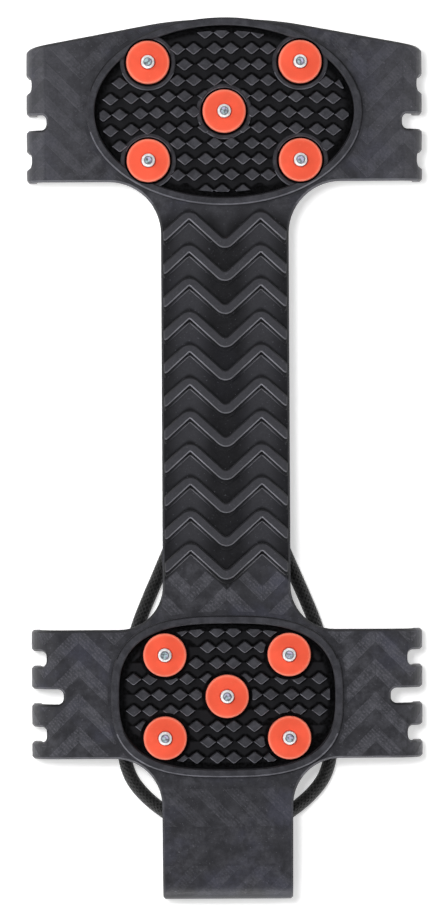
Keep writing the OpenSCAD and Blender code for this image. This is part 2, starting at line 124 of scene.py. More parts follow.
# Ribs of the shank
RIB_COUNT = 11
RIB_FIRST_Y = TOE_LINE_Y - 3.2 * MM
RIB_PITCH = 10.94 * MM
RIB_PEAK_X = 11.8 * MM
RIB_END_X = 20.4 * MM
RIB_SLOPE = math.radians(42.5)
RIB_ROUND = {
    "peak": 4.2 * MM,
    "peak_inside": 0.3 * MM,
    "valley": 3.8 * MM,
    "valley_inside": 1.6 * MM,
    "end": 0.8 * MM,
}
RIB_STEP_REACH = 1.4 * MM
RIB_STEP_HEIGHT = 0.5 * MM

# Rows of lugs: where their middle lies, and how much they bow across the pad
LUG_AT = {"forefoot": (-0.4 * MM, 0.0), "heel": (-0.6 * MM, 0.6 * MM)}
LUG_BOW = {"forefoot": 1 / (2 * 625 * MM), "heel": 0.0}
LUG_ROW = 5.2 * MM
LUG_GAP = 0.1 * MM
PAIR_GAP = 1.45 * MM
LUG_MARGIN = 1.65 * MM
LUG_CLEAR = 0.6 * MM
LUG_CRUMB = 0.9 * MM

# Low bars on the arms: where their zigzag turns, which way it leaves and where its rows lie
BAR_TURN_X = {"forefoot": 47.2 * MM, "heel": 49 * MM}
BAR_LEAN = {"forefoot": 1, "heel": -1}
BAR_ROW_Y = {"forefoot": PAD_Y["forefoot"] - 2.6 * MM, "heel": PAD_Y["heel"] + 3.7 * MM}
BAR_PITCH = 10.94 * MM
BAR_COLUMN = 11.8 * MM
BAR_RISE = 5.3 * MM
BAR_GAP = 0.12 * MM
# The same bars on the tab lie in two rows: their middle, length and lean
TAB_BAR_X = 7.4 * MM
TAB_BAR_ROWS = [(TAB_LINE_Y - 8 * MM, 12.5 * MM, -1), (TAB_LINE_Y - 32.5 * MM, 10.5 * MM, 1)]

# Studs, washers and the wells that they stand in
STUD_R = 2.2 * MM
STUD_HOLE_R = 2.24 * MM
FLANGE_R = 5.5 * MM
FLANGE_HOLE_R = 5.54 * MM
FLANGE_LOW = FOOT_Z + 0.2 * MM
FLANGE_TOP = FOOT_Z + 1.2 * MM
WELL_R = 7.8 * MM
COLLAR_R = 9.2 * MM
COLLAR_TOP = TREAD_Z + 1.8 * MM
WASHER_R = 7.15 * MM
TIP_R = 1.35 * MM
TIP_HOLE_R = 1.39 * MM
TIP_DEPTH = 3.4 * MM

# Keeper under the tab
KEEPER_Y = TAB_LINE_Y - 14.55 * MM
KEEPER_Z = 8.6 * MM

# Route of the cord on the right side, from the sleeve to the keeper
HALF_ROUTE = [
    (0.2, -13.4, 3.2),
    (6, -13.4, 3.2),
    (9, -14, 3.2),
    (11.8, -15.6, 3.1),
    (14.2, -19, 2.9),
    (17, -25.5, 2.6),
    (20, -32.5, 2.5),
    (23, -39.5, 2.4),
    (25.7, -45.7, 2.4),
    (28.9, -53.6, 2.4),
    (31.5, -62, 2.4),
    (33.5, -72, 2.4),
    (34.5, -83, 2.4),
    (34.6, -94, 2.4),
    (33.9, -100, 2.4),
    (32.6, -104.4, 2.4),
    (30.6, -108, 2.5),
    (27.6, -111.5, 2.8),
    (24, -114.7, 3.6),
    (20, -117.5, 5),
    (16, -119.7, 6.8),
    (12, -121.1, 8.1),
    (8, -121.6, 8.6),
]

# Strands of the cord's sheath: run of one crossing, and how many lie round the cord
STRAND_PITCH = 1.7 * MM
STRANDS = 10

# Photograph's frame and the camera that took it
PHOTO_W = 446
PHOTO_H = 921
PHOTO_MM_PER_PX = 0.33
PHOTO_ORIGIN_PX = (226.0, 458.8)
CAMERA_DISTANCE = 2.0
CAMERA_ROLL = math.radians(0.3)

# Soft lamps that face the cleat: place, width, height and watts
LAMPS = {
    "overhead": ((-0.2, 0.15, 1.25), 0.24, 0.24, 9.0),
    "left": ((-0.85, 0.35, 1.0), 0.9, 0.9, 5.4),
    "front": ((-0.2, -1.8, 0.82), 2.0, 0.6, 10),
    "right": ((0.9, 0.2, 1.0), 0.9, 0.9, 2.2),
}
# Low strips that show only as sheen on slanted edges
STRIPS = {
    "low_left": ((-0.75, -0.82, 0.16), 0.8, 0.06, 3.0),
    "low_right": ((0.75, -0.82, 0.16), 0.8, 0.06, 2.0),
    "low_front": ((0, -1.11, 0.16), 0.5, 0.06, 1.5),
}
# Greys of the room's wall and ceiling, and of the floor's own glow near the cleat
WALL = (0.9, 0.9, 0.9)
CEILING = (0.05, 0.05, 0.05)
FLOOR_GLOW = (0.47, 0.47, 0.47)
WHITE = (1, 1, 1)
BLACK = (0, 0, 0)


def length_setting(name, description, default):
    """A length that a user would change."""
    return FloatProperty(name=name, description=description, default=default, unit="LENGTH")


def colour_setting(name, description, default):
    """A colour that a user would change."""
    return FloatVectorProperty(name=name, description=description, default=default, subtype="COLOR", size=3)


class CleatSizes(PropertyGroup):
    """Sizes of the cleat"""

    edge_round: length_setting("Edge round", "Rounding of the web's edges", 0.7 * MM)
    slot_width: length_setting("Slot width", "Width of a cord slot", 5 * MM)
    rim_width: length_setting("Rim width", "Width of the rim round a pad", 2.75 * MM)
    lug_width: length_setting("Lug width", "Width of one diamond lug", 5.3 * MM)
    lug_length: length_setting("Lug length", "Length of one diamond lug", 4.2 * MM)
    lug_height: length_setting("Lug height", "Height of the lugs above the floor", 2.4 * MM)
    rib_width: length_setting("Rib width", "Width of a rib, square to its run", 3 * MM)
    rib_height: length_setting("Rib height", "Height of a rib above the web", 1.9 * MM)
    bar_height: length_setting("Bar height", "Height of the raised bars", 0.05 * MM)
    cord_width: length_setting("Cord width", "Diameter of the elastic cord", 4.5 * MM)
    cord_sides: IntProperty(name="Cord sides", description="Faces round the cord", default=20, min=8, max=64)


class CleatColours(PropertyGroup):
    """Colours of the cleat"""

    rubber: colour_setting("Rubber", "Colour of the web", (0.053, 0.053, 0.061))
    # Painted shade: the tread's floor is the web's rubber, drawn far darker for the shade in its recess
    recess_shade: colour_setting("Recess", "Colour of the tread's floor", (0.004, 0.004, 0.0045))
    washer: colour_setting("Washer", "Colour of the stud washers", (0.92, 0.112, 0.055))
    steel: colour_setting("Steel", "Colour of the stud bodies", (0.86, 0.87, 0.88))
    carbide: colour_setting("Carbide", "Colour of the tips", (0.62, 0.67, 0.76))
    sheath: colour_setting("Sheath", "Colour of the cord", (0.0105, 0.0105, 0.0105))


class Wire:
    """A node's output that takes part in Python sums."""

    def __init__(self, tree, socket):
        self.tree = tree
        self.socket = socket

    def math(self, operation, first, second):
        node = self.tree.nodes.new("ShaderNodeMath")
        node.operation = operation
        for socket, value in zip(node.inputs, (first, second)):
            feed(self.tree, socket, value)
        return Wire(self.tree, node.outputs[0])

    def __add__(self, other):
        return self.math("ADD", self, other)

    __radd__ = __add__

    def __sub__(self, other):
        return self.math("SUBTRACT", self, other)

    def __rsub__(self, other):
        return self.math("SUBTRACT", other, self)

    def __mul__(self, other):
        return self.math("MULTIPLY", self, other)

    __rmul__ = __mul__

    def __truediv__(self, other):
        return self.math("DIVIDE", self, other)

    def __pow__(self, other):
        return self.math("POWER", self, other)

    def __abs__(self):
        return self.math("ABSOLUTE", self, 0.0)

    def fract(self):
        return self.math("FRACT", self, 0.0)

    def sine(self):
        return self.math("SINE", self, 0.0)


def feed(tree, socket, value):
    """Link a wire to a socket, or set the socket's own value."""
    if isinstance(value, Wire):
        tree.links.new(value.socket, socket)
    else:
        socket.default_value = value


class Recipe:
    """The node tree of a material, or of the world."""

    # Sockets of a Mix node that mixes colours
    MIX_FIRST = 6
    MIX_SECOND = 7
    MIX_OUT = 2

    def __init__(self, name, shelf=bpy.data.materials, shader="Principled BSDF"):
        self.material = shelf.new(name)
        self.material.use_nodes = True
        self.tree = self.material.node_tree
        self.shader = self.tree.nodes[shader]

    def node(self, kind, settings=None, values=None, out=0):
        """Any node: its settings come first, then the values or links of its sockets."""
        node = self.tree.nodes.new(kind)
        for name, value in (settings or {}).items():
            setattr(node, name, value)
        for name, value in (values or {}).items():
            feed(self.tree, node.inputs[name], value)
        return Wire(self.tree, node.outputs[out])

    def paint(self, values):
        """Values or links of the shader's own sockets."""
        for name, value in values.items():
            feed(self.tree, self.shader.inputs[name], value)
        return self.material

    def place(self):
        """Place on the object, in metres."""
        return self.node("ShaderNodeTexCoord", out="Object")

    def part(self, vector, axis):
        return self.node("ShaderNodeSeparateXYZ", values={"Vector": vector}, out=axis)

    def along(self, axis):
        return self.part(self.place(), axis)

    def stored(self, name):
        """Number that the mesh keeps under a name."""
        return self.node("ShaderNodeAttribute", {"attribute_name": name}, out="Fac")

    def noise(self, scale, detail=3, rough=0.5):
        values = {"Vector": self.place(), "Scale": scale, "Detail": detail, "Roughness": rough}
        return self.node("ShaderNodeTexNoise", values=values)

    def between(self, value, low, high):
        """0 below low, 1 above high and smooth between them."""
        values = {"Value": value, "From Min": low, "From Max": high}
        return self.node("ShaderNodeMapRange", {"interpolation_type": "SMOOTHSTEP"}, values)

    def mix(self, share, first, second):
        """First colour at a share of 0, second at 1."""
        values = {"Factor": share}
        for socket, colour in ((self.MIX_FIRST, first), (self.MIX_SECOND, second)):
            values[socket] = colour if isinstance(colour, Wire) else (*colour, 1)
        return self.node("ShaderNodeMix", {"data_type": "RGBA"}, values, out=self.MIX_OUT)

    def bump(self, height, distance, strength):
        values = {"Height": height, "Distance": distance, "Strength": strength}
        return self.node("ShaderNodeBump", values=values)


# Weak sheen keeps the rubber's shadows black, most of all in the tread
WEB_SHEEN = 0.3
TREAD_SHEEN = 0.12
# Depth of fine surface grain
RUBBER_GRAIN = 0.06 * MM
PLASTIC_GRAIN = 0.03 * MM
CARBIDE_GRAIN = 0.05 * MM
STEEL_GRAIN = 0.02 * MM
WEAVE_DEPTH = 0.18 * MM


def scaled(colour, factor):
    """A colour made lighter or darker."""
    return tuple(min(1.0, c * factor) for c in colour)


def tinted(colour, *factors):
    """A colour with each of its parts made stronger or weaker."""
    return tuple(c * factor for c, factor in zip(colour, factors))


def paint_edge_light_and_shade(recipe, tone, light_share, light, dark_share, dark):
    """A tone with painted highlights on some edges and painted shade on others, as the faces say."""
    edge = recipe.stored("wear_and_edge_lighting")
    tone = recipe.mix(recipe.between(edge, 0.0, 1.0) * light_share, tone, light)
    return recipe.mix(recipe.between(edge, 0.0, -1.0) * dark_share, tone, dark)


def rubber_finish(recipe, tone, bloom, height, sheen):
    """What all rubber shares: its roughness and the depth of its grain."""
    return recipe.paint({
        "Base Color": tone,
        "Roughness": 0.36 + bloom * 0.1,
        "Specular IOR Level": sheen,
        "Normal": recipe.bump(height, RUBBER_GRAIN, 0.6),
    })


def off_rib_peak(recipe):
    """Distance to the side of the nearest rib peak."""
    return abs(abs(recipe.along("X")) - RIB_PEAK_X)


def painted_rib_light_and_shade(recipe, base, tone):
    """Painted shade between the ribs: black in the valleys and above each rib, where their shadows fall,
    with painted light under the peaks.
    """
    off_peak = off_rib_peak(recipe)
    peak_drop = RIB_ROUND["peak"] * (1 / math.cos(RIB_SLOPE) - 1)
    softness = peak_drop / math.tan(RIB_SLOPE)
    aside = (off_peak * off_peak + softness**2) ** 0.5
    level = recipe.along("Y") + aside * math.tan(RIB_SLOPE)
    row = (level - RIB_FIRST_Y) / RIB_PITCH
    clear = recipe.between(row.fract(), 0.4, 0.52)
    light = (1 - recipe.between(aside, 1.5 * MM, 8.5 * MM)) * 0.9 + 0.1
    floor = recipe.mix(light * clear, scaled(base, 0.06), scaled(base, 0.8))
    last = RIB_FIRST_Y - (RIB_COUNT - 1) * RIB_PITCH
    ribbed = recipe.between(level, last - 2.4 * MM, last - 1.2 * MM)
    ribbed = ribbed * (1 - recipe.between(level, RIB_FIRST_Y + 5 * MM, RIB_FIRST_Y + 11 * MM))
    ribbed = ribbed * recipe.between(recipe.along("Z"), WEB_TOP - 0.6 * MM, WEB_TOP - 0.2 * MM)
    return recipe.mix(ribbed * 0.88, tone, floor)


def web_rubber(name, colours, ground, hatched, ribbed=False):
    """Matt black rubber with a greyish bloom, fine grain and dust, raised tops lighter partly by wear and
    partly as painted light, painted highlights and shade on its edges and, when ribbed, painted shade
    between the ribs; hatched bars carry fine lines.
    """
    recipe = Recipe(name)
    base = scaled(colours.rubber, ground)
    raised = recipe.between(recipe.along("Z"), WEB_TOP + 0.4 * MM, WEB_TOP + 1.6 * MM)
    bloom = recipe.between(recipe.noise(260, 5, 0.65), 0.36, 0.66)
    patch = recipe.between(recipe.noise(60), 0.38, 0.64)
    speck = recipe.between(recipe.noise(1600, 2), 0.66, 0.76)
    tone = recipe.mix(bloom, scaled(base, 0.6), scaled(base, 1.2))
    tone = recipe.mix(patch * 0.6, tone, scaled(base, 0.55))
    haze = recipe.between(recipe.noise(48, 4, 0.6), 0.5, 0.68)
    tone = recipe.mix(haze * 0.6, tone, tinted(base, 1.1, 1.12, 1.35))
    dust = recipe.between(abs(recipe.along("X")), 40 * MM, 56 * MM)
    dust = dust * recipe.between(recipe.along("Y"), FOREFOOT_ARM_BACK - 20 * MM, FOREFOOT_ARM_BACK)
    tone = recipe.mix(dust * 0.4, tone, scaled(base, 1.5))
    # Painted shade between the ribs, with painted light under their peaks
    if ribbed:
        tone = painted_rib_light_and_shade(recipe, base, tone)
    # Raised tops drop the painted shade of the floor below them and come out lighter than the web, partly as
    # wear and partly as painted light
    tone = recipe.mix(raised * 0.75, tone, scaled(colours.rubber, 1.15))
    tone = recipe.mix(speck * 0.5, tone, scaled(base, 3))
    grit = recipe.between(recipe.noise(1100, 4, 0.7), 0.4, 0.62)
    tone = recipe.mix(grit * 0.3, tone, scaled(base, 0.45))
    # Painted highlight on heel-facing edges and painted shade on toe-facing ones; on the shank the highlight
    # stays near the rib peaks, and raised parts get more of it
    low = 0.4
    if ribbed:
        low = (1 - recipe.between(off_rib_peak(recipe), 3 * MM, 8 * MM)) * 0.5
    highlighted = (low + raised * 0.5) * (0.6 + bloom * 0.4)
    tone = paint_edge_light_and_shade(recipe, tone, highlighted, scaled(colours.rubber, 3.9), 0.75, scaled(base, 0.12))
    height = recipe.noise(2600) * 0.6 + bloom * 0.4
    if hatched:
        lines = recipe.node(
            "ShaderNodeTexWave",
            {"bands_direction": "DIAGONAL"},
            {"Vector": recipe.place(), "Scale": 420.0, "Distortion": 1.5, "Detail": 1.0},
        )
        crumbs = recipe.between(recipe.noise(1500, 3, 0.6), 0.42, 0.62)
        height = height + lines * hatched
        tone = recipe.mix(lines * crumbs * hatched, tone, scaled(base, 1.8))
    return rubber_finish(recipe, tone, bloom, height, WEB_SHEEN)


def lug_steps(sizes):
    """From lug to lug in a pair, and from pair to pair."""
    lug_step = sizes.lug_width + LUG_GAP
    return lug_step, 2 * lug_step + PAIR_GAP


def lug_field(recipe, x, y, sizes):
    """1 where lugs stand on the tread's floor, and 0 along the rim and round the washers."""
    trim = sizes.rim_width + LUG_MARGIN
    field = 0.0
    for end in ENDS:
        width, length, power = PAD_OVAL[end]
        wide = abs(x / (width / 2 - trim))
        long = abs((y - PAD_Y[end]) / (length / 2 - trim))
        field = field + (1 - recipe.between(wide**power + long**power, 0.9, 1.02))
    for place in STUD_PLACES["forefoot"] + STUD_PLACES["heel"]:
        off_x = x - place.x
        off_y = y - place.y
        reach = off_x * off_x + off_y * off_y
        field = field * recipe.between(reach, WELL_R**2, (WELL_R + 0.9 * MM) ** 2)
    return field


def tread_shade(recipe, sizes):
    """Painted shadow on the tread's floor: 1 at the lugs' toe-facing edges, along the rim and round the
    washers, 0 on the rest of the floor.
    """
    x = recipe.along("X")
    y = recipe.along("Y")
    front = recipe.between(y, -MM, MM)
    rows = {}
    for end in ENDS:
        middle_y = PAD_Y[end] + LUG_AT[end][1]
        rows[end] = (y + x * x * LUG_BOW[end] - middle_y) / LUG_ROW + 0.5
    row = rows["heel"] + (rows["forefoot"] - rows["heel"]) * front
    along_row = row.fract()
    odd = ((row - along_row) / 2).fract() * 2
    lug_step, pair_step = lug_steps(sizes)
    middle_x = LUG_AT["heel"][0] + (LUG_AT["forefoot"][0] - LUG_AT["heel"][0]) * front
    pair = (x - middle_x + odd * (pair_step / 4)) / pair_step + 0.5
    aside = abs(abs((pair.fract() - 0.5) * pair_step) - lug_step / 2)
    edge = (1 - aside / (sizes.lug_width / 2)) * (sizes.lug_length / 2)
    ahead = (along_row - 0.5) * LUG_ROW
    shade = 1 - recipe.between(ahead - edge, 0.7 * MM, 1.5 * MM)
    shade = shade * recipe.between(ahead, -0.3 * MM, 0.3 * MM)
    return 1 - (1 - shade) * lug_field(recipe, x, y, sizes)


def tread_rubber(name, colours, sizes):
    """Rubber drawn dark with painted shade on the tread's floor, with painted shadows beside the lugs, grey
    on the tops of its lugs, and with painted highlights and shade on its edges.
    """
    recipe = Recipe(name)
    base = tuple(colours.rubber)
    shade = tread_shade(recipe, sizes)
    # Painted shade for the recess, blackest in painted shadows beside the lugs, along the rim and round the
    # washers
    recess_shade = recipe.mix(shade, scaled(colours.recess_shade, 3.6), scaled(colours.recess_shade, 0.1))
    raised = recipe.between(recipe.along("Z"), TREAD_Z + 0.5 * MM, TREAD_Z + 2.2 * MM)
    bloom = recipe.between(recipe.noise(300, 5, 0.65), 0.36, 0.66)
    speck = recipe.between(recipe.noise(1800, 2), 0.7, 0.78)
    top = recipe.mix(bloom, scaled(base, 0.74), scaled(base, 1.18))
    under = 1 - recipe.between(recipe.along("Z"), FOOT_Z + 0.8 * MM, FOOT_Z + 1.4 * MM)
    tone = recipe.mix(raised + under, recess_shade, top)
    grit = recipe.between(recipe.noise(1100, 4, 0.7), 0.4, 0.62)
    tone = recipe.mix(grit * 0.25, tone, scaled(base, 0.4))
    tone = recipe.mix(speck * raised * 0.5, tone, scaled(base, 2.6))
    # Painted highlight on heel-facing edges and painted shade on toe-facing ones
    highlighted = 0.5 + bloom * 0.45
    tone = paint_edge_light_and_shade(recipe, tone, highlighted, scaled(base, 3.4), 0.7, scaled(base, 0.12))
    height = recipe.noise(2600) * 0.6 + bloom * 0.4
    return rubber_finish(recipe, tone, bloom, height, TREAD_SHEEN)


def washer_plastic(name, colours):
    """Moulded orange-red plastic with faint flow marks and scuffs, with a painted highlight near its rim and
    on its chamfer.
    """
    recipe = Recipe(name)
    base = tuple(colours.washer)
    flow = recipe.between(recipe.noise(130, 4), 0.35, 0.7)
    scuff = recipe.between(recipe.noise(900, 4, 0.7), 0.6, 0.72)
    tone = recipe.mix(flow, scaled(base, 0.93), scaled(base, 1.06))
    # Painted highlight: a lighter ring near the rim
    radius = recipe.stored("radius")
    highlighted = recipe.between(radius, WASHER_R - 1.5 * MM, WASHER_R - 0.3 * MM)
    tone = recipe.mix(highlighted * (0.25 + flow * 0.35), tone, (1.0, 0.22, 0.13))
    # Painted highlight on the chamfer
    chamfer_highlight = recipe.between(radius, WASHER_R - 0.75 * MM, WASHER_R - 0.5 * MM)
    tone = recipe.mix(chamfer_highlight * 0.28, tone, (1.0, 0.36, 0.25))
    tone = recipe.mix(scuff * 0.3, tone, (1.0, 0.24, 0.14))
    return recipe.paint({
        "Base Color": tone,
        "Roughness": 0.36 + flow * 0.08 + scuff * 0.1,
        "Specular IOR Level": 0.5,
        "Normal": recipe.bump(recipe.noise(1500) * 0.5 + scuff * 0.5, PLASTIC_GRAIN, 0.5),
    })


def sintered_carbide(name, colours):
    """Grey sintered metal with blue and green clouds, a grainy face and a painted shade round its edge."""
    recipe = Recipe(name)
    base = tuple(colours.carbide)
    cloud = recipe.between(recipe.noise(1100, 3, 0.6), 0.34, 0.56)
    tint = recipe.between(recipe.noise(900, 2), 0.4, 0.6)
    pale = recipe.mix(tint, tinted(base, 0.85, 1.08, 0.98), tinted(base, 1.1, 0.94, 1.14))
    tone = recipe.mix(cloud, scaled(base, 0.24), pale)
    radius = recipe.stored("radius")
    # Painted shade: the tip's edge is drawn dark for the shade in the gap round it
    brim_shade = recipe.between(radius, TIP_R - 0.36 * MM, TIP_R - 0.18 * MM)
    tone = recipe.mix(brim_shade * 0.7, tone, scaled(base, 0.16))
    return recipe.paint({
        "Base Color": tone,
        "Metallic": 0.35,
        "Roughness": 0.42 + cloud * 0.15,
        "Normal": recipe.bump(cloud * 0.7 + recipe.noise(5000, 2) * 0.3, CARBIDE_GRAIN, 0.7),
    })


def turned_steel(name, base, metal, rings, grain):
    """Metal that was turned on a lathe: fine rings follow the radius stored on each point."""
    recipe = Recipe(name)
    radius = recipe.stored("radius")
    ring = (radius * rings).sine()
    cloud = recipe.between(recipe.noise(grain, 4, 0.6), 0.35, 0.68)
    tone = recipe.mix(cloud, scaled(base, 0.86), scaled(base, 1.16))
    foot = 1 - recipe.between(recipe.along("Z"), FLANGE_TOP, FLANGE_TOP + 0.3 * MM)
    tone = recipe.mix(foot * 0.9, tone, scaled(base, 0.42))
    return recipe.paint({
        "Base Color": tone,
        "Metallic": metal + foot * (1 - metal),
        "Roughness": 0.34 + cloud * 0.14,
        "Normal": recipe.bump(ring * 0.4 + cloud * 0.6, STEEL_GRAIN, 0.5),
    })


def woven_sheath(name, colours):
    """Woven elastic sheath: two sets of strands cross along the cord's own map, drawn lighter where proud
    and darker between, partly as painted highlight and shade.
    """
    recipe = Recipe(name)
    base = tuple(colours.sheath)
    chart = recipe.node("ShaderNodeUVMap", {"uv_map": "run"})
    run = recipe.part(chart, "X") * (math.tau / STRAND_PITCH)
    turn = recipe.part(chart, "Y") * (math.tau * STRANDS)
    rising = (run + turn).sine()
    falling = (run - turn).sine()
    weave = rising.math("MAXIMUM", rising, falling)
    fuzz = recipe.noise(3200)
    wear_and_edge_lighting = recipe.between(recipe.noise(420, 3, 0.6), 0.35, 0.65)
    # Proud strands lighter and the gaps between them darker: partly the braid's pattern, partly painted
    # highlight and painted shade
    proud = recipe.between(weave, -0.2, 1.0) * (0.35 + wear_and_edge_lighting * 0.65)
    tone = recipe.mix(proud, scaled(base, 0.2), scaled(base, 2.4))
    tone = recipe.mix(recipe.between(fuzz, 0.55, 0.75) * 0.4, tone, scaled(base, 2.4))
    return recipe.paint({
        "Base Color": tone,
        "Roughness": 0.5 + fuzz * 0.15,
        "Sheen Weight": 0.15,
        "Sheen Roughness": 0.4,
        "Normal": recipe.bump(weave * 0.7 + fuzz * 0.3, WEAVE_DEPTH, 0.8),
    })


def on_circle(count, step):
    """Angle of one of equally many points round a circle."""
    return math.tau * step / count


def oval_ring(end, inset, z):
    """Points of a pad's oval, moved in from its outline, at a height."""
    width, length, power = PAD_OVAL[end]
    ring = []
    for step in range(OVAL_STEPS):
        c = math.cos(on_circle(OVAL_STEPS, step))
        s = math.sin(on_circle(OVAL_STEPS, step))
        x = (width / 2 - inset) * math.copysign(abs(c) ** (2 / power), c)
        y = (length / 2 - inset) * math.copysign(abs(s) ** (2 / power), s)
        ring.append(Vector((x, PAD_Y[end] + y, z)))
    return ring


def ring_edges(bm, loop):
    """Edges that join a ring of vertices, in order."""
    return [bm.edges.get((a, b)) for a, b in zip(loop, loop[1:] + loop[:1])]


def first_ring(bm, points):
    """A capped ring of vertices on the given points."""
    loop = bmesh.ops.create_circle(bm, cap_ends=True, segments=len(points), radius=1)["verts"]
    for vert, point in zip(loop, points):
        vert.co = point
    return loop


def grow(bm, loop, points):
    """Extrude a ring of vertices, in order, and put its copy on the given points."""
    made = bmesh.ops.extrude_edge_only(bm, edges=ring_edges(bm, loop))["geom"]
    fresh = {item for item in made if isinstance(item, bmesh.types.BMVert)}
    grown = []
    for vert, point in zip(loop, points):
        copy = next(e.other_vert(vert) for e in vert.link_edges if e.other_vert(vert) in fresh)
        copy.co = point
        grown.append(copy)
    return grown


def face_outwards(bm):
    """Turn all faces of closed shapes outwards."""
    bmesh.ops.recalc_face_normals(bm, faces=bm.faces[:])


def close_skin(bm, loop):
    """Cap the last ring of a skin."""
    bmesh.ops.contextual_create(bm, geom=ring_edges(bm, loop))
    face_outwards(bm)


def loft(bm, rings):
    """A closed skin through rings of equally many points."""
    loop = first_ring(bm, rings[0])
    for ring in rings[1:]:
        loop = grow(bm, loop, ring)
    close_skin(bm, loop)


def lathe(bm, profile, centre, steps=48):
    """A profile of radius and height, turned about an upright axis through a centre."""
    verts = [bm.verts.new((centre.x + r, centre.y, z)) for r, z in profile]
    edges = [bm.edges.new(pair) for pair in zip(verts, verts[1:])]
    if profile[0][0] > 0:
        edges.append(bm.edges.new((verts[-1], verts[0])))
    bmesh.ops.spin(
        bm, geom=verts + edges, cent=(centre.x, centre.y, 0), axis=(0, 0, 1), angle=math.tau, steps=steps,
        use_merge=True,
    )
    bmesh.ops.remove_doubles(bm, verts=bm.verts[:], dist=TOUCH)
    face_outwards(bm)


def bevel(bm, geom, affect, width, segments):
    """Round off corners or edges."""
    bmesh.ops.bevel(
        bm, geom=geom, offset=width, offset_type="OFFSET", affect=affect, segments=segments, profile=0.5,
        material=-1, clamp_overlap=False,
    )


def round_corner(bm, vert, radius, segments):
    """Turn a flat face's sharp corner into an arc."""
    first, second = (e.other_vert(vert).co - vert.co for e in vert.link_edges)
    reach = radius / math.tan(first.angle(second) / 2)
    bevel(bm, [vert], "VERTICES", reach, segments)


def flat_shape(bm, corners, z):
    """A flat face from corners given as x, y, radius and steps of the arc."""
    verts = [bm.verts.new((x, y, z)) for x, y, *arc in corners]
    face = bm.faces.new(verts)
    face.normal_update()
    if face.normal.z < 0:
        face.normal_flip()
    for vert, (x, y, radius, steps) in zip(verts, corners):
        if radius:
            round_corner(bm, vert, radius, steps)


def thicken(bm, depth):
    """Give flat faces a depth, downwards for a negative one."""
    made = bmesh.ops.extrude_face_region(bm, geom=bm.faces[:])["geom"]
    moved = [item for item in made if isinstance(item, bmesh.types.BMVert)]
    bmesh.ops.translate(bm, verts=moved, vec=(0, 0, depth))
    face_outwards(bm)


def rims_at(bm, z):
    """Edges round flat faces at a height."""
    found = []
    for edge in bm.edges:
        if all(abs(v.co.z - z) < LEVEL for v in edge.verts):
            flat = [abs(f.normal.z) > 0.9 for f in edge.link_faces]
            if len(flat) == 2 and flat[0] != flat[1]:
                found.append(edge)
    return found


def soften_rims(bm, z, width, segments):
    """Round off the edges of flat faces at a height."""
    bm.normal_update()
    bevel(bm, rims_at(bm, z), "EDGES", width, segments)


def slice_at(bm, point, normal, keep=None):
    """Cut the whole mesh along a plane; keep one side, "low" or "high" along the normal, and cap it."""
    geom = bm.verts[:] + bm.edges[:] + bm.faces[:]
    made = bmesh.ops.bisect_plane(
        bm, geom=geom, dist=TOUCH, plane_co=point, plane_no=normal, clear_outer=keep == "low",
        clear_inner=keep == "high",
    )
    if keep:
        edges = [item for item in made["geom_cut"] if isinstance(item, bmesh.types.BMEdge)]
        bmesh.ops.holes_fill(bm, edges=edges, sides=0)


def to_mesh(bm, name):
    """A mesh from a bmesh, which is used up."""
    mesh = bpy.data.meshes.new(name)
    bm.to_mesh(mesh)
    bm.free()
    return mesh


def carve(body, tool, operation):
    """One mesh cut, joined or trimmed by another, both given as bmesh; gives a new bmesh."""
    parts = []
    for bm in (body, tool):
        part = bpy.data.objects.new("carving", to_mesh(bm, "carving"))
        bpy.context.scene.collection.objects.link(part)
        parts.append(part)
    cut = parts[0].modifiers.new("carve", "BOOLEAN")
    cut.operation = operation
    cut.solver = "EXACT"
    cut.object = parts[1]
    seen = parts[0].evaluated_get(bpy.context.evaluated_depsgraph_get())
    mesh = bpy.data.meshes.new_from_object(seen)
    for part in parts:
        old = part.data
        bpy.data.objects.remove(part)
        bpy.data.meshes.remove(old)
    result = bmesh.new()
    result.from_mesh(mesh)
    bpy.data.meshes.remove(mesh)
    return result


def add_in(bm, other):
    """Put another bmesh's faces into this one."""
    mesh = to_mesh(other, "part")
    bm.from_mesh(mesh)
    bpy.data.meshes.remove(mesh)


def make_piece(bm, name, *materials, sharp=32, weighted=False):
    """A finished object from a bmesh, with its edges sharp above an angle."""
    limit = math.radians(sharp)
    for face in bm.faces:
        face.smooth = True
    for edge in bm.edges:
        edge.smooth = len(edge.link_faces) == 2 and edge.calc_face_angle(0) < limit
    piece = bpy.data.objects.new(name, to_mesh(bm, name))
    for material in materials:
        piece.data.materials.append(material)
    bpy.context.scene.collection.objects.link(piece)
    if weighted:
        normals = piece.modifiers.new("even_normals", "WEIGHTED_NORMAL")
        normals.keep_sharp = True
    return piece


def store(piece, name, domain, values):
    """Keep a number for each point or face of a piece, for its material."""
    layer = piece.data.attributes.new(name, "FLOAT", domain)
    layer.data.foreach_set("value", values)


def mark_edge_light_and_shade(piece, highlighted=lambda place: True):
    """Mark slanted edges: 1 facing the heel, for a painted highlight, and -1 facing the toe, for painted
    shade.
    """
    marks = []
    for face in piece.data.polygons:
        slanted = abs(face.normal.y) > 0.25 and 0.45 < face.normal.z < 0.9
        mark = -math.copysign(1.0, face.normal.y)
        marks.append(mark if slanted and (mark < 0 or highlighted(face.center)) else 0.0)
    store(piece, "wear_and_edge_lighting", "FACE", marks)


def material_once(maker, name, *values):
    """A material that several pieces share."""
    return bpy.data.materials.get(name) or maker(name, *values)


def strip_end(which):
    """Length of a strip to its very end, laid flat."""
    start, radius = CURL[which]
    return start + radius * (math.pi / 2 - 1) + WEB_TOP


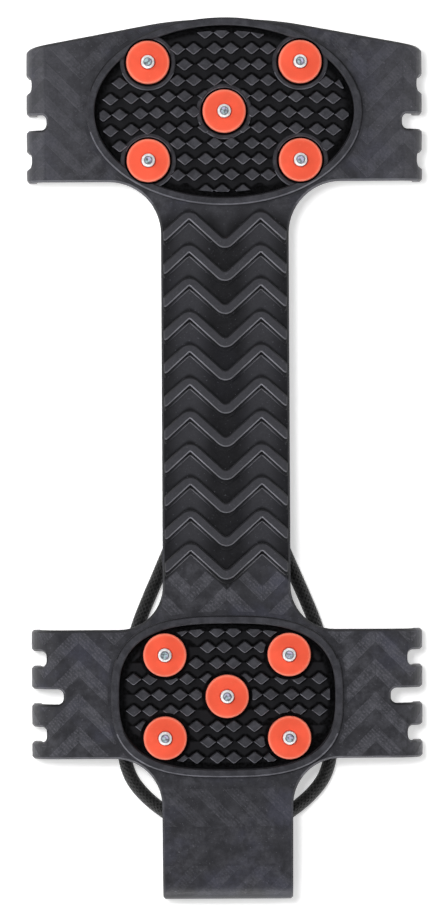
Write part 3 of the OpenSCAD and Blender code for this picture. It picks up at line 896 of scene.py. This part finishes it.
def slot_corners(end, width):
    """Corners of an arm's end with its three slots, from front to back, laid flat."""
    reach = strip_end(end)
    tip_round = (1.1 * MM, 4)
    seat_round = (2 * MM, 6)
    corners = []
    for row in (1, 0, -1):
        y = SLOT_ROW_Y[end] + row * SLOT_PITCH
        inner = CURL[end][0] + SLOT_START[end] + abs(row) * SLOT_EXTRA
        corners += [
            (reach, y + width / 2, *tip_round),
            (inner, y + width / 2, *seat_round),
            (inner, y - width / 2, *seat_round),
            (reach, y - width / 2, *tip_round),
        ]
    return corners


def web_corners(slot_width):
    """Corners of the whole web, laid flat."""
    toe_x = TOE_RADIUS * math.sin(TOE_SLOPE)
    toe_y = TOE_Y - TOE_RADIUS * (1 - math.cos(TOE_SLOPE))
    apex_y = toe_y + toe_x * math.tan(TOE_SLOPE)
    reach = strip_end("forefoot")
    front_y = apex_y - reach * math.tan(TOE_SLOPE)
    half = [
        (reach, front_y, 3.5 * MM, 6),
        *slot_corners("forefoot", slot_width),
        (reach, FOREFOOT_ARM_BACK, 1.6 * MM, 5),
        (SHANK_HALF, FOREFOOT_ARM_BACK, FILLETS["neck"], 14),
        (SHANK_HALF, HEEL_ARM_FRONT, FILLETS["heel"], 14),
        (strip_end("heel"), HEEL_ARM_FRONT, 3 * MM, 6),
        *slot_corners("heel", slot_width),
        (strip_end("heel"), HEEL_ARM_BACK, 1.6 * MM, 5),
        (TAB_HALF, HEEL_ARM_BACK, FILLETS["tab"], 14),
        (TAB_END_HALF, -strip_end("tab"), 2.5 * MM, 6),
    ]
    mirrored = [(-x, y, radius, steps) for x, y, radius, steps in reversed(half)]
    return [(0, apex_y, TOE_RADIUS, 16), *half, *mirrored]


def spread(low, high, count):
    """Equal steps from low to high."""
    return [low + (high - low) * i / count for i in range(count + 1)]


def bend_cuts(bm):
    """Cut a flat web where it curls and where it bends."""
    across = []
    for end in ENDS:
        start, radius = CURL[end]
        across += spread(start, start + radius * math.pi / 2, 10)
        across += spread(ARM_LINE_X[end] - BEND, ARM_LINE_X[end] + BEND, BEND_STEPS)
    start, radius = CURL["tab"]
    along = [-y for y in spread(start, start + radius * math.pi / 2, 10)]
    along += spread(TOE_LINE_Y - BEND, TOE_LINE_Y + BEND, BEND_STEPS)
    along += spread(TAB_LINE_Y - BEND, TAB_LINE_Y + BEND, BEND_STEPS)
    for x in across:
        slice_at(bm, (x, 0, 0), (1, 0, 0))
        slice_at(bm, (-x, 0, 0), (1, 0, 0))
    for y in along:
        slice_at(bm, (0, y, 0), (0, 1, 0))


def curled(run, z, which):
    """Where a flat strip's point goes when its end is curled: its run and its height."""
    start, radius = CURL[which]
    if run <= start:
        return run, z
    depth = WEB_TOP - z
    turn = (run - start) / radius
    if turn < math.pi / 2:
        reach = radius - depth
        return start + reach * math.sin(turn), WEB_TOP - radius + reach * math.cos(turn)
    down = run - start - radius * math.pi / 2
    return start + radius - depth, WEB_TOP - radius - down


def curl_ends(bm):
    """Curl the flat web's arms and tab."""
    for vert in bm.verts:
        x, y, z = vert.co
        if y < -CURL["tab"][0]:
            run, z = curled(-y, z, "tab")
            y = -run
        elif y > FOREFOOT_ARM_BACK - MM or HEEL_ARM_BACK - MM < y < HEEL_ARM_FRONT + MM:
            end = "forefoot" if y > 0 else "heel"
            run, z = curled(abs(x), z, end)
            x = math.copysign(run, x)
        vert.co = (x, y, z)


def prism(corners, low, high):
    """An upright prism from flat corners."""
    bm = bmesh.new()
    flat_shape(bm, corners, low)
    thicken(bm, high - low)
    return bm


def oval_prism(end, inset, low, high):
    """An upright prism with a pad's oval."""
    bm = bmesh.new()
    loft(bm, [oval_ring(end, inset, low), oval_ring(end, inset, high)])
    return bm


def bar_places():
    """Middles of the low bars, with a matrix that leans a unit box into each bar's shape."""
    across = BAR_COLUMN - BAR_GAP
    for end in ENDS:
        for column in range(-2, 2):
            x = BAR_TURN_X[end] + (column + 0.5) * BAR_COLUMN
            lean = BAR_LEAN[end] * (-1 if column % 2 else 1)
            for row in range(-4, 5):
                y = BAR_ROW_Y[end] + row * BAR_PITCH
                for side in (-1, 1):
                    yield side * x, y, Matrix(((across, 0), (side * lean * across, BAR_RISE)))
    for y, length, lean in TAB_BAR_ROWS:
        for column in range(-4, 5):
            x = TAB_BAR_X + column * BAR_PITCH
            yield x, y, Matrix(((BAR_RISE, lean * length), (0, length)))
    for column in range(-2, 2):
        lean = -1 if column % 2 else 1
        x = (column + 0.5) * BAR_COLUMN
        for row in range(2):
            y = SHANK_END_Y + 1.5 * MM + row * BAR_PITCH
            yield x, y, Matrix(((across, 0), (-lean * across, BAR_RISE)))


def raised_bars(sizes):
    """Flat raised bars in zigzags over the arms, the tab and the shank's plain end."""
    sunk = 0.15 * MM
    bars = bmesh.new()
    height = sizes.bar_height + sunk
    for x, y, shape in bar_places():
        box = shape.to_4x4()
        box[2][2] = height
        spot = Matrix.Translation((x, y, WEB_TOP - sunk + height / 2))
        bmesh.ops.create_cube(bars, size=1, matrix=spot @ box)
    face_outwards(bars)
    soften_rims(bars, WEB_TOP + sizes.bar_height, 0.04 * MM, 1)
    return bars


def bar_area(sizes):
    """The region that bars may cover: the web, drawn in a little, without its pads and ribs."""
    margin = 0.9 * MM
    area = bmesh.new()
    flat_shape(area, web_corners(sizes.slot_width), WEB_TOP - MM)
    inner = area.faces[:]
    bmesh.ops.inset_region(area, faces=inner, thickness=margin, use_boundary=True, use_even_offset=True)
    bmesh.ops.delete(area, geom=[f for f in area.faces if f not in inner], context="FACES")
    thicken(area, 3 * MM)
    for end in ENDS:
        area = carve(area, oval_prism(end, -1.2 * MM, WEB_TOP - 3 * MM, WEB_TOP + 5 * MM), "DIFFERENCE")
    last_rib_y = RIB_FIRST_Y - (RIB_COUNT - 1) * RIB_PITCH - RIB_STEP_REACH - 0.8 * MM
    fall = RIB_PEAK_X * math.tan(RIB_SLOPE)
    far = 2 * RIB_PEAK_X
    ribs = [(0, last_rib_y - fall), (RIB_PEAK_X, last_rib_y), (far, last_rib_y - fall), (far, TOE_LINE_Y)]
    ribs += [(-x, y) for x, y in reversed(ribs[1:])]
    cover = prism([(x, y, 0, 0) for x, y in ribs], WEB_TOP - 3 * MM, WEB_TOP + 5 * MM)
    return carve(area, cover, "DIFFERENCE")


def whole_web(sizes):
    """The web with its arms, shank and tab, curled, with open ovals under the pads."""
    web = bmesh.new()
    flat_shape(web, web_corners(sizes.slot_width), WEB_TOP)
    bend_cuts(web)
    thicken(web, FOOT_Z - WEB_TOP)
    soften_rims(web, FOOT_Z, sizes.edge_round, 3)
    soften_rims(web, WEB_TOP, sizes.edge_round, 1)
    for end in ENDS:
        hole = oval_prism(end, PAD_SEAT, FOOT_Z - MM, WEB_TOP + MM)
        web = carve(web, hole, "DIFFERENCE")
    bars = carve(raised_bars(sizes), bar_area(sizes), "INTERSECT")
    bend_cuts(bars)
    for face in bars.faces:
        face.material_index = 1
    add_in(web, bars)
    curl_ends(web)
    return web


# The whole web is made once, and each part is cut from it
kept_webs = {}


def web_part(sizes, cuts):
    """A part of the whole web between planes, each given as a point, a normal and the side to keep."""
    if "web" not in kept_webs:
        kept_webs["web"] = to_mesh(whole_web(sizes), "whole_web")
    part = bmesh.new()
    part.from_mesh(kept_webs["web"])
    for point, normal, keep in cuts:
        slice_at(part, point, normal, keep)
    return part


# Rubber of the bars: its name, how light it is and how deep its hatching is
CLEAR_BARS = ("bar_rubber", 1.36, 0.55)
FAINT_BARS = ("faint_bar_rubber", 1.16, 0.3)


def rubber_materials(context, bars, name="web_rubber", ribbed=False):
    """Rubber of a part of the web, and of the bars on it."""
    colours = context.scene.cleat_colours
    plain = material_once(web_rubber, name, colours, 1.0, 0.0, ribbed)
    bars_name, ground, hatched = bars
    return plain, material_once(web_rubber, bars_name, colours, ground, hatched)


# Planes that part the web, where both sides follow the same body
TOE_SEAM = (0, TOE_LINE_Y + BEND, 0)
MID_SEAM = (0, PAD_Y["heel"] + 27.1 * MM, 0)
TAB_SEAM = (0, TAB_LINE_Y + BEND, 0)
ALONG = (0, 1, 0)
ACROSS = (1, 0, 0)


class CLEAT_OT_arms(Operator):
    """Make the slotted arms with the web round each pad"""

    bl_idname = "cleat.arms"
    bl_label = "Arms"

    def execute(self, context):
        sizes = context.scene.cleat_sizes
        bands = {
            "forefoot": [(TOE_SEAM, ALONG, "high")],
            "heel": [(MID_SEAM, ALONG, "low"), (TAB_SEAM, ALONG, "high")],
        }
        for end in ENDS:
            for side in SIDES:
                keep = "low" if side == "left" else "high"
                part = web_part(sizes, bands[end] + [((0, 0, 0), ACROSS, keep)])
                materials = rubber_materials(context, FAINT_BARS if end == "forefoot" else CLEAR_BARS)
                piece = make_piece(part, f"{end}_web_{side}", *materials, weighted=True)
                # Heel-facing edges of the web get a painted highlight, toe-facing ones painted shade
                mark_edge_light_and_shade(piece)
                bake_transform(piece)
                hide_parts(f"{end}_arm_{side}")
        return {"FINISHED"}


def rib_shape(sizes, y, height, edge):
    """One W-shaped rib with round corners and softened top edges."""
    rise = sizes.rib_width / math.cos(RIB_SLOPE)
    fall = RIB_PEAK_X * math.tan(RIB_SLOPE)
    drop = (RIB_END_X - RIB_PEAK_X) * math.tan(RIB_SLOPE)
    right = [
        (RIB_PEAK_X, y, RIB_ROUND["peak_inside"], 3),
        (RIB_END_X, y - drop, RIB_ROUND["end"], 3),
        (RIB_END_X, y - drop + rise, RIB_ROUND["end"], 3),
        (RIB_PEAK_X, y + rise, RIB_ROUND["peak"], 10),
    ]
    left = [(-x, at, radius, steps) for x, at, radius, steps in reversed(right)]
    valley = (0, y - fall, RIB_ROUND["valley"], 12)
    valley_inside = (0, y - fall + rise, RIB_ROUND["valley_inside"], 6)
    rib = prism([valley, *right, valley_inside, *left], WEB_TOP - 0.2 * MM, WEB_TOP + height)
    soften_rims(rib, WEB_TOP + height, edge, 1)
    return rib


class CLEAT_OT_shank(Operator):
    """Make the ribbed shank"""

    bl_idname = "cleat.shank"
    bl_label = "Shank"

    def execute(self, context):
        sizes = context.scene.cleat_sizes
        part = web_part(sizes, [(TOE_SEAM, ALONG, "low"), (MID_SEAM, ALONG, "high")])
        for i in range(RIB_COUNT):
            y = RIB_FIRST_Y - i * RIB_PITCH
            add_in(part, rib_shape(sizes, y, sizes.rib_height, 0.42 * MM))
            add_in(part, rib_shape(sizes, y - RIB_STEP_REACH, RIB_STEP_HEIGHT, 0.3 * MM))
        materials = rubber_materials(context, CLEAR_BARS, "shank_rubber", True)
        piece = make_piece(part, "shank_ribbed", *materials, weighted=True)
        # Heel-facing edges of the shank and its ribs get a painted highlight, toe-facing ones painted shade
        mark_edge_light_and_shade(piece)
        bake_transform(piece)
        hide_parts("shank")
        return {"FINISHED"}


def cord_keeper(sizes):
    """The moulded loop under the tab that holds the cord."""
    bore = sizes.cord_width / 2 + 0.3 * MM
    outer = bore + 1.6 * MM
    length = 14 * MM
    high = FOOT_Z + 0.1 * MM - KEEPER_Z
    corners = [
        (-outer, high, 0, 0),
        (-outer, -outer, outer * 0.999, 10),
        (outer, -outer, outer * 0.999, 10),
        (outer, high, 0, 0),
    ]
    keeper = prism(corners, -length / 2, length / 2)
    rims = rims_at(keeper, length / 2) + rims_at(keeper, -length / 2)
    bevel(keeper, rims, "EDGES", 0.5 * MM, 2)
    rod = bmesh.new()
    bmesh.ops.create_cone(rod, cap_ends=True, segments=40, radius1=bore, radius2=bore, depth=2 * length)
    keeper = carve(keeper, rod, "DIFFERENCE")
    turn = Matrix(((0, 0, 1, 0), (1, 0, 0, KEEPER_Y), (0, 1, 0, KEEPER_Z), (0, 0, 0, 1)))
    bmesh.ops.transform(keeper, matrix=turn, verts=keeper.verts[:])
    return keeper


class CLEAT_OT_tab(Operator):
    """Make the heel tab with the keeper under it"""

    bl_idname = "cleat.tab"
    bl_label = "Heel tab"

    def execute(self, context):
        sizes = context.scene.cleat_sizes
        part = web_part(sizes, [(TAB_SEAM, ALONG, "low")])
        add_in(part, cord_keeper(sizes))
        piece = make_piece(part, "tab_strap", *rubber_materials(context, FAINT_BARS), weighted=True)
        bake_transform(piece)
        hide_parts("heel_tab")
        return {"FINISHED"}


def rods(end, radius, low, high):
    """Upright rods at the places of a pad's studs."""
    made = bmesh.new()
    for place in STUD_PLACES[end]:
        bmesh.ops.create_cone(
            made, cap_ends=True, segments=48, radius1=radius, radius2=radius, depth=high - low,
            matrix=Matrix.Translation((*place, (low + high) / 2)),
        )
    return made


def pad_body(sizes, end):
    """A pad's rim and recessed floor, with wells and holes for its studs."""
    rim = sizes.rim_width
    top = RIM_TOP
    steps = [
        (PAD_SEAT, FOOT_Z),
        (PAD_SEAT, WEB_TOP),
        (0, WEB_TOP),
        (0.05 * MM, top - 0.5 * MM),
        (0.5 * MM, top),
        (rim - 0.5 * MM, top),
        (rim - 0.15 * MM, top - 0.35 * MM),
        (rim, TREAD_Z + 0.3 * MM),
        (rim + 0.3 * MM, TREAD_Z),
    ]
    body = bmesh.new()
    loft(body, [oval_ring(end, inset, z) for inset, z in steps])
    well_floor = TREAD_Z + 0.03 * MM
    body = carve(body, rods(end, WELL_R, well_floor, top + MM), "DIFFERENCE")
    body = carve(body, rods(end, STUD_HOLE_R, FOOT_Z - MM, top + MM), "DIFFERENCE")
    return carve(body, rods(end, FLANGE_HOLE_R, FOOT_Z - MM, FLANGE_TOP), "DIFFERENCE")


def pad_collars():
    """Low rings of rubber round the forefoot wells."""
    collars = bmesh.new()
    for place in STUD_PLACES["forefoot"]:
        lathe(collars, [
            (WELL_R, TREAD_Z - 0.1 * MM),
            (WELL_R, COLLAR_TOP - 0.25 * MM),
            (WELL_R + 0.25 * MM, COLLAR_TOP),
            (COLLAR_R - 0.3 * MM, COLLAR_TOP),
            (COLLAR_R, COLLAR_TOP - 0.3 * MM),
            (COLLAR_R, TREAD_Z - 0.1 * MM),
        ], place)
    return carve(collars, oval_prism("forefoot", 1.5 * MM, FOOT_Z, RIM_TOP), "INTERSECT")


def lug_spots(sizes, end):
    """Middles of the lugs on a pad: rows of pairs, without the crumbs along the trimmed edges."""
    width, length, power = PAD_OVAL[end]
    trim = sizes.rim_width + LUG_MARGIN
    half_w = width / 2 - trim + LUG_CRUMB / 2
    half_l = length / 2 - trim + LUG_CRUMB / 2
    lug_step, pair_step = lug_steps(sizes)
    rows = math.ceil(half_l / LUG_ROW)
    pairs = math.ceil(half_w / pair_step) + 1
    at_x, at_y = LUG_AT[end]
    nearest = WELL_R + LUG_CLEAR - LUG_CRUMB / 2
    for row in range(-rows, rows + 1):
        shift = -pair_step / 4 if row % 2 else 0
        for pair in range(-pairs, pairs + 1):
            for side in (-1, 1):
                x = at_x + pair * pair_step + shift + side * lug_step / 2
                y = at_y + row * LUG_ROW - LUG_BOW[end] * x * x
                spot = Vector((x, PAD_Y[end] + y))
                inside = abs(x / half_w) ** power + abs(y / half_l) ** power < 1
                if inside and min((spot - place).length for place in STUD_PLACES[end]) > nearest:
                    yield spot


def pad_lugs(sizes, end):
    """Rows of paired diamond lugs, trimmed along the rim and round the studs."""
    sunk = 0.1 * MM
    top = TREAD_Z + sizes.lug_height
    size = Matrix.Diagonal((sizes.lug_width / 2, sizes.lug_length / 2, 1, 1))
    lugs = bmesh.new()
    blunt = []
    for spot in lug_spots(sizes, end):
        made = bmesh.ops.create_cone(
            lugs, cap_ends=True, segments=4, radius1=1.01, radius2=0.99, depth=top - TREAD_Z + sunk,
            matrix=Matrix.Translation((*spot, (TREAD_Z - sunk + top) / 2)) @ size,
        )["verts"]
        blunt += [v for v in made if abs(v.co.x - spot.x) < 0.1 * MM]
    lugs.normal_update()
    upright = {e for v in blunt for e in v.link_edges if e.calc_length() > sizes.lug_height}
    upright = [e for e in upright if abs(e.verts[0].co.z - e.verts[1].co.z) > MM]
    bevel(lugs, upright, "EDGES", 0.5 * MM, 2)
    soften_rims(lugs, top, 0.24 * MM, 1)
    area = oval_prism(end, sizes.rim_width + LUG_MARGIN, FOOT_Z, RIM_TOP + MM)
    area = carve(area, rods(end, WELL_R + LUG_CLEAR, FOOT_Z - MM, RIM_TOP + 2 * MM), "DIFFERENCE")
    return carve(lugs, area, "INTERSECT")


class CLEAT_OT_pads(Operator):
    """Make the two tread pads"""

    bl_idname = "cleat.pads"
    bl_label = "Tread pads"

    def execute(self, context):
        sizes = context.scene.cleat_sizes
        material = material_once(tread_rubber, "tread_rubber", context.scene.cleat_colours, sizes)
        for end in ENDS:
            pad = pad_body(sizes, end)
            if end == "forefoot":
                add_in(pad, pad_collars())
            add_in(pad, pad_lugs(sizes, end))
            piece = make_piece(pad, f"{end}_tread", material, weighted=True)
            low = TREAD_Z + MM
            high = RIM_TOP - 0.5 * MM
            # Painted highlight on heel-facing edges between the floor and the rim's top, and on all of them
            # on the pad's heel half; painted shade on every toe-facing edge
            mark_edge_light_and_shade(piece, lambda place: low < place.z < high or place.y < PAD_Y[end])
            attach(piece, "sole" if end == "heel" else "forefoot")
            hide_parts(f"{end}_pad")
        return {"FINISHED"}


def turned_pieces(kind, profile, material):
    """One turned piece for each stud of both pads."""
    for end in ENDS:
        for i, place in zip(STUDS, STUD_PLACES[end]):
            bm = bmesh.new()
            lathe(bm, profile, place)
            piece = make_piece(bm, f"{kind}_{end}_{i}", material, sharp=40, weighted=True)
            store(piece, "radius", "POINT", [(v.co.xy - place).length for v in piece.data.vertices])
            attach(piece, "sole" if end == "heel" else "forefoot")
            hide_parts(f"{end}_{kind}_{i}")


class CLEAT_OT_washers(Operator):
    """Make the coloured stud washers"""

    bl_idname = "cleat.washers"
    bl_label = "Washers"

    def execute(self, context):
        material = material_once(washer_plastic, "washer_plastic", context.scene.cleat_colours)
        profile = [
            (STUD_HOLE_R, TREAD_Z),
            (WASHER_R - 0.2 * MM, TREAD_Z),
            (WASHER_R, TREAD_Z + 0.2 * MM),
            (WASHER_R, WASHER_TOP - 0.6 * MM),
            (WASHER_R - 0.12 * MM, WASHER_TOP - 0.34 * MM),
            (WASHER_R - 0.34 * MM, WASHER_TOP - 0.12 * MM),
            (WASHER_R - 0.6 * MM, WASHER_TOP),
            (STUD_HOLE_R + 0.45 * MM, WASHER_TOP),
            (STUD_HOLE_R + 0.1 * MM, WASHER_TOP - 0.35 * MM),
            (STUD_HOLE_R, WASHER_TOP - 0.6 * MM),
        ]
        turned_pieces("washer", profile, material)
        return {"FINISHED"}


class CLEAT_OT_studs(Operator):
    """Make the flanged steel studs"""

    bl_idname = "cleat.studs"
    bl_label = "Studs"

    def execute(self, context):
        steel = tuple(context.scene.cleat_colours.steel)
        material = material_once(turned_steel, "turned_stud", steel, 0.15, 26000.0, 900)
        profile = [
            (0, FLANGE_LOW),
            (FLANGE_R - 0.2 * MM, FLANGE_LOW),
            (FLANGE_R, FLANGE_LOW + 0.2 * MM),
            (FLANGE_R, FLANGE_TOP),
            (STUD_R, FLANGE_TOP),
            (STUD_R, STUD_TOP - 0.62 * MM),
            (STUD_R - 0.08 * MM, STUD_TOP - 0.5 * MM),
            (TIP_HOLE_R + 0.14 * MM, STUD_TOP - 0.02 * MM),
            (TIP_HOLE_R + 0.1 * MM, STUD_TOP),
            (TIP_HOLE_R, STUD_TOP - 0.1 * MM),
            (TIP_HOLE_R, STUD_TOP - TIP_DEPTH),
            (0, STUD_TOP - TIP_DEPTH),
        ]
        turned_pieces("stud", profile, material)
        return {"FINISHED"}


class CLEAT_OT_tips(Operator):
    """Make the carbide tips"""

    bl_idname = "cleat.tips"
    bl_label = "Carbide tips"

    def execute(self, context):
        material = material_once(sintered_carbide, "carbide_tip", context.scene.cleat_colours)
        profile = [
            (0, STUD_TOP - TIP_DEPTH),
            (TIP_R, STUD_TOP - TIP_DEPTH),
            (TIP_R, TIP_TOP - 0.22 * MM),
            (TIP_R - 0.22 * MM, TIP_TOP),
            (0, TIP_TOP),
        ]
        turned_pieces("tip", profile, material)
        return {"FINISHED"}


def smooth_run(points, steps):
    """Points of a smooth curve through the given ones."""
    run = []
    for i in range(len(points) - 1):
        before = points[max(i - 1, 0)]
        after = points[min(i + 2, len(points) - 1)]
        first, second = points[i], points[i + 1]
        for step in range(steps):
            t = step / steps
            run.append(0.5 * (
                2 * first
                + (second - before) * t
                + (2 * before - 5 * first + 4 * second - after) * t * t
                + (3 * first - before - 3 * second + after) * t * t * t
            ))
    run.append(points[-1])
    return run


def cord_path():
    """Middle line of the cord: the right half, through the keeper, and the left half back."""
    half = [Vector(p) * MM for p in HALF_ROUTE]
    far = [Vector((-p.x, p.y, p.z)) for p in reversed(half)]
    return smooth_run(half + far, 5)


def tube(bm, path, radius, sides):
    """A round tube along a path, with a map of its run and turn."""
    chart = bm.loops.layers.uv.new("run")
    along = [0.0]
    for first, second in zip(path, path[1:]):
        along.append(along[-1] + (second - first).length)
    rings = []
    for i, point in enumerate(path):
        heading = (path[min(i + 1, len(path) - 1)] - path[max(i - 1, 0)]).normalized()
        aside = heading.cross(Vector((0, 0, 1))).normalized()
        up = aside.cross(heading)
        turns = [on_circle(sides, k) for k in range(sides)]
        rings.append([point + radius * (math.cos(a) * aside + math.sin(a) * up) for a in turns])
    loop = first_ring(bm, rings[0])
    for i in range(1, len(rings)):
        grown = grow(bm, loop, rings[i])
        for k in range(sides):
            ahead = (k + 1) % sides
            quad = {
                loop[k]: (i - 1, k),
                loop[ahead]: (i - 1, k + 1),
                grown[ahead]: (i, k + 1),
                grown[k]: (i, k),
            }
            beside = bm.edges.get((loop[k], grown[k])).link_faces
            face = next(f for f in beside if all(v in quad for v in f.verts))
            for corner in face.loops:
                row, turn = quad[corner.vert]
                corner[chart].uv = (along[row], turn / sides)
        loop = grown
    close_skin(bm, loop)
    return along[-1]


class CLEAT_OT_cord(Operator):
    """Make the elastic cord loop and the sleeve that joins its ends"""

    bl_idname = "cleat.cord"
    bl_label = "Cord loop"

    def execute(self, context):
        sizes = context.scene.cleat_sizes
        colours = context.scene.cleat_colours
        path = cord_path()
        bm = bmesh.new()
        length = tube(bm, path, sizes.cord_width / 2, sizes.cord_sides)
        material = material_once(woven_sheath, "woven_sheath", colours)
        piece = make_piece(bm, "cord_loop_sheath", material, sharp=60)
        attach(piece, "cord_loop")
        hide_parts("heel_cord")
        sleeve = self.make_sleeve(sizes, colours)
        return {"FINISHED"}

    def make_sleeve(self, sizes, colours):
        """The crimped sleeve round the cord's ends."""
        low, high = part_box("cord_ferrule")
        centre = (low + high) / 2
        bore = sizes.cord_width / 2 + 0.04 * MM
        outer = (high.z - low.z) / 2
        half = (high.x - low.x) / 2
        dent = 0.25 * MM
        profile = [
            (bore, -half),
            (outer - 0.2 * MM, -half),
            (outer, -half + 0.2 * MM),
            (outer, -4 * MM),
            (outer - dent, -3.3 * MM),
            (outer - dent, -2.3 * MM),
            (outer, -1.6 * MM),
            (outer, 1.6 * MM),
            (outer - dent, 2.3 * MM),
            (outer - dent, 3.3 * MM),
            (outer, 4 * MM),
            (outer, half - 0.2 * MM),
            (outer - 0.2 * MM, half),
            (bore, half),
        ]
        bm = bmesh.new()
        lathe(bm, profile, Vector((0, 0)))
        turn = Matrix.Translation(centre) @ Euler((0, math.pi / 2, 0)).to_matrix().to_4x4()
        bmesh.ops.transform(bm, matrix=turn, verts=bm.verts[:])
        material = material_once(turned_steel, "sleeve_steel", tuple(colours.steel), 1.0, 0.0, 600)
        sleeve = make_piece(bm, "cord_sleeve", material)
        store(sleeve, "radius", "POINT", [v.co.x for v in sleeve.data.vertices])
        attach(sleeve, "cord_loop")
        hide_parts("cord_ferrule")
        return sleeve


def add_lamp(name, place, width, height, watts):
    """A soft rectangular lamp that faces the cleat."""
    lamp = bpy.data.lights.new(name, "AREA")
    lamp.shape = "RECTANGLE"
    lamp.size = width
    lamp.size_y = height
    lamp.energy = watts
    holder = bpy.data.objects.new(name, lamp)
    holder.location = place
    holder.rotation_euler = (-Vector(place)).to_track_quat("-Z", "Y").to_euler()
    bpy.context.scene.collection.objects.link(holder)
    return holder


def floor_paper():
    """White paper that reads as white to the camera and keeps the shadow near the cleat."""
    recipe = Recipe("floor_paper")
    rays = ("Is Camera Ray", "Is Glossy Ray", "Is Transmission Ray")
    seen, shine, through = (recipe.node("ShaderNodeLightPath", out=ray) for ray in rays)
    away = recipe.node("ShaderNodeVectorMath", {"operation": "LENGTH"}, {0: recipe.place()}, out="Value")
    glow = recipe.mix(recipe.between(away, 0.35, 0.8), FLOOR_GLOW, WHITE)
    return recipe.paint({
        "Base Color": (0.86, 0.86, 0.86, 1),
        "Roughness": 0.9,
        "Specular IOR Level": 0.1,
        "Emission Color": recipe.mix(seen + shine + through, BLACK, glow),
        "Emission Strength": 1.0,
    })


class CLEAT_OT_stage(Operator):
    """Make the floor, the light and the camera"""

    bl_idname = "cleat.stage"
    bl_label = "Stage"

    def execute(self, context):
        scene = context.scene
        bm = bmesh.new()
        bmesh.ops.create_grid(bm, x_segments=1, y_segments=1, size=12.0)
        bmesh.ops.translate(bm, verts=bm.verts[:], vec=(0, 0, -0.1 * MM))
        floor = make_piece(bm, "floor", floor_paper())
        self.light(scene)
        self.place_camera(scene)
        scene.view_settings.view_transform = "Standard"
        return {"FINISHED"}

    def light(self, scene):
        """The room and its lamps."""
        room = Recipe("room", bpy.data.worlds, "Background")
        outlook = room.node("ShaderNodeTexCoord", out="Generated")
        rise = room.part(outlook, "Z")
        dome = room.mix(room.between(rise, 0.0, 0.6), WALL, CEILING)
        scene.world = room.paint({"Color": dome, "Strength": 1.0})
        for name, lamp in LAMPS.items():
            # The small overhead lamp would leave a bright spot on each washer
            add_lamp(name, *lamp).visible_glossy = name != "overhead"
        for name, strip in STRIPS.items():
            add_lamp(name, *strip).visible_diffuse = False

    def place_camera(self, scene):
        """A camera straight above the tread, in the photograph's frame."""
        lens = bpy.data.cameras.new("camera")
        lens.sensor_fit = "VERTICAL"
        lens.sensor_height = 36
        pixel = PHOTO_MM_PER_PX * MM
        lens.lens = CAMERA_DISTANCE / pixel * lens.sensor_height / PHOTO_H
        lens.clip_end = 20
        eye = bpy.data.objects.new("camera", lens)
        x = (PHOTO_W / 2 - PHOTO_ORIGIN_PX[0]) * pixel
        y = (PHOTO_ORIGIN_PX[1] - PHOTO_H / 2) * pixel
        eye.location = (x, y, WEB_TOP + CAMERA_DISTANCE)
        eye.rotation_euler = (0, 0, -CAMERA_ROLL)
        scene.collection.objects.link(eye)
        scene.camera = eye


class CLEAT_PT_panel(Panel):
    """Sizes, colours and builders of the ice cleat"""

    bl_idname = "CLEAT_PT_panel"
    bl_label = "Ice cleat"
    bl_space_type = "VIEW_3D"
    bl_region_type = "UI"
    bl_category = "Ice cleat"

    def draw(self, context):
        for group in (context.scene.cleat_sizes, context.scene.cleat_colours):
            box = self.layout.box()
            for name in group.bl_rna.properties.keys():
                if name not in ("rna_type", "name"):
                    box.prop(group, name)
        for operator in OPERATORS:
            self.layout.operator(operator.bl_idname)


OPERATORS = (
    CLEAT_OT_stage,
    CLEAT_OT_cord,
    CLEAT_OT_arms,
    CLEAT_OT_shank,
    CLEAT_OT_tab,
    CLEAT_OT_pads,
    CLEAT_OT_washers,
    CLEAT_OT_studs,
    CLEAT_OT_tips,
)
CLASSES = (CleatSizes, CleatColours, *OPERATORS, CLEAT_PT_panel)


def register():
    for item in CLASSES:
        bpy.utils.register_class(item)
    bpy.types.Scene.cleat_sizes = PointerProperty(type=CleatSizes)
    bpy.types.Scene.cleat_colours = PointerProperty(type=CleatColours)


def unregister():
    del bpy.types.Scene.cleat_colours
    del bpy.types.Scene.cleat_sizes
    for item in reversed(CLASSES):
        bpy.utils.unregister_class(item)


def main():
    register()
    for operator in OPERATORS:
        group, name = operator.bl_idname.split(".")
        getattr(getattr(bpy.ops, group), name)()


if __name__ == "__main__":
    main()
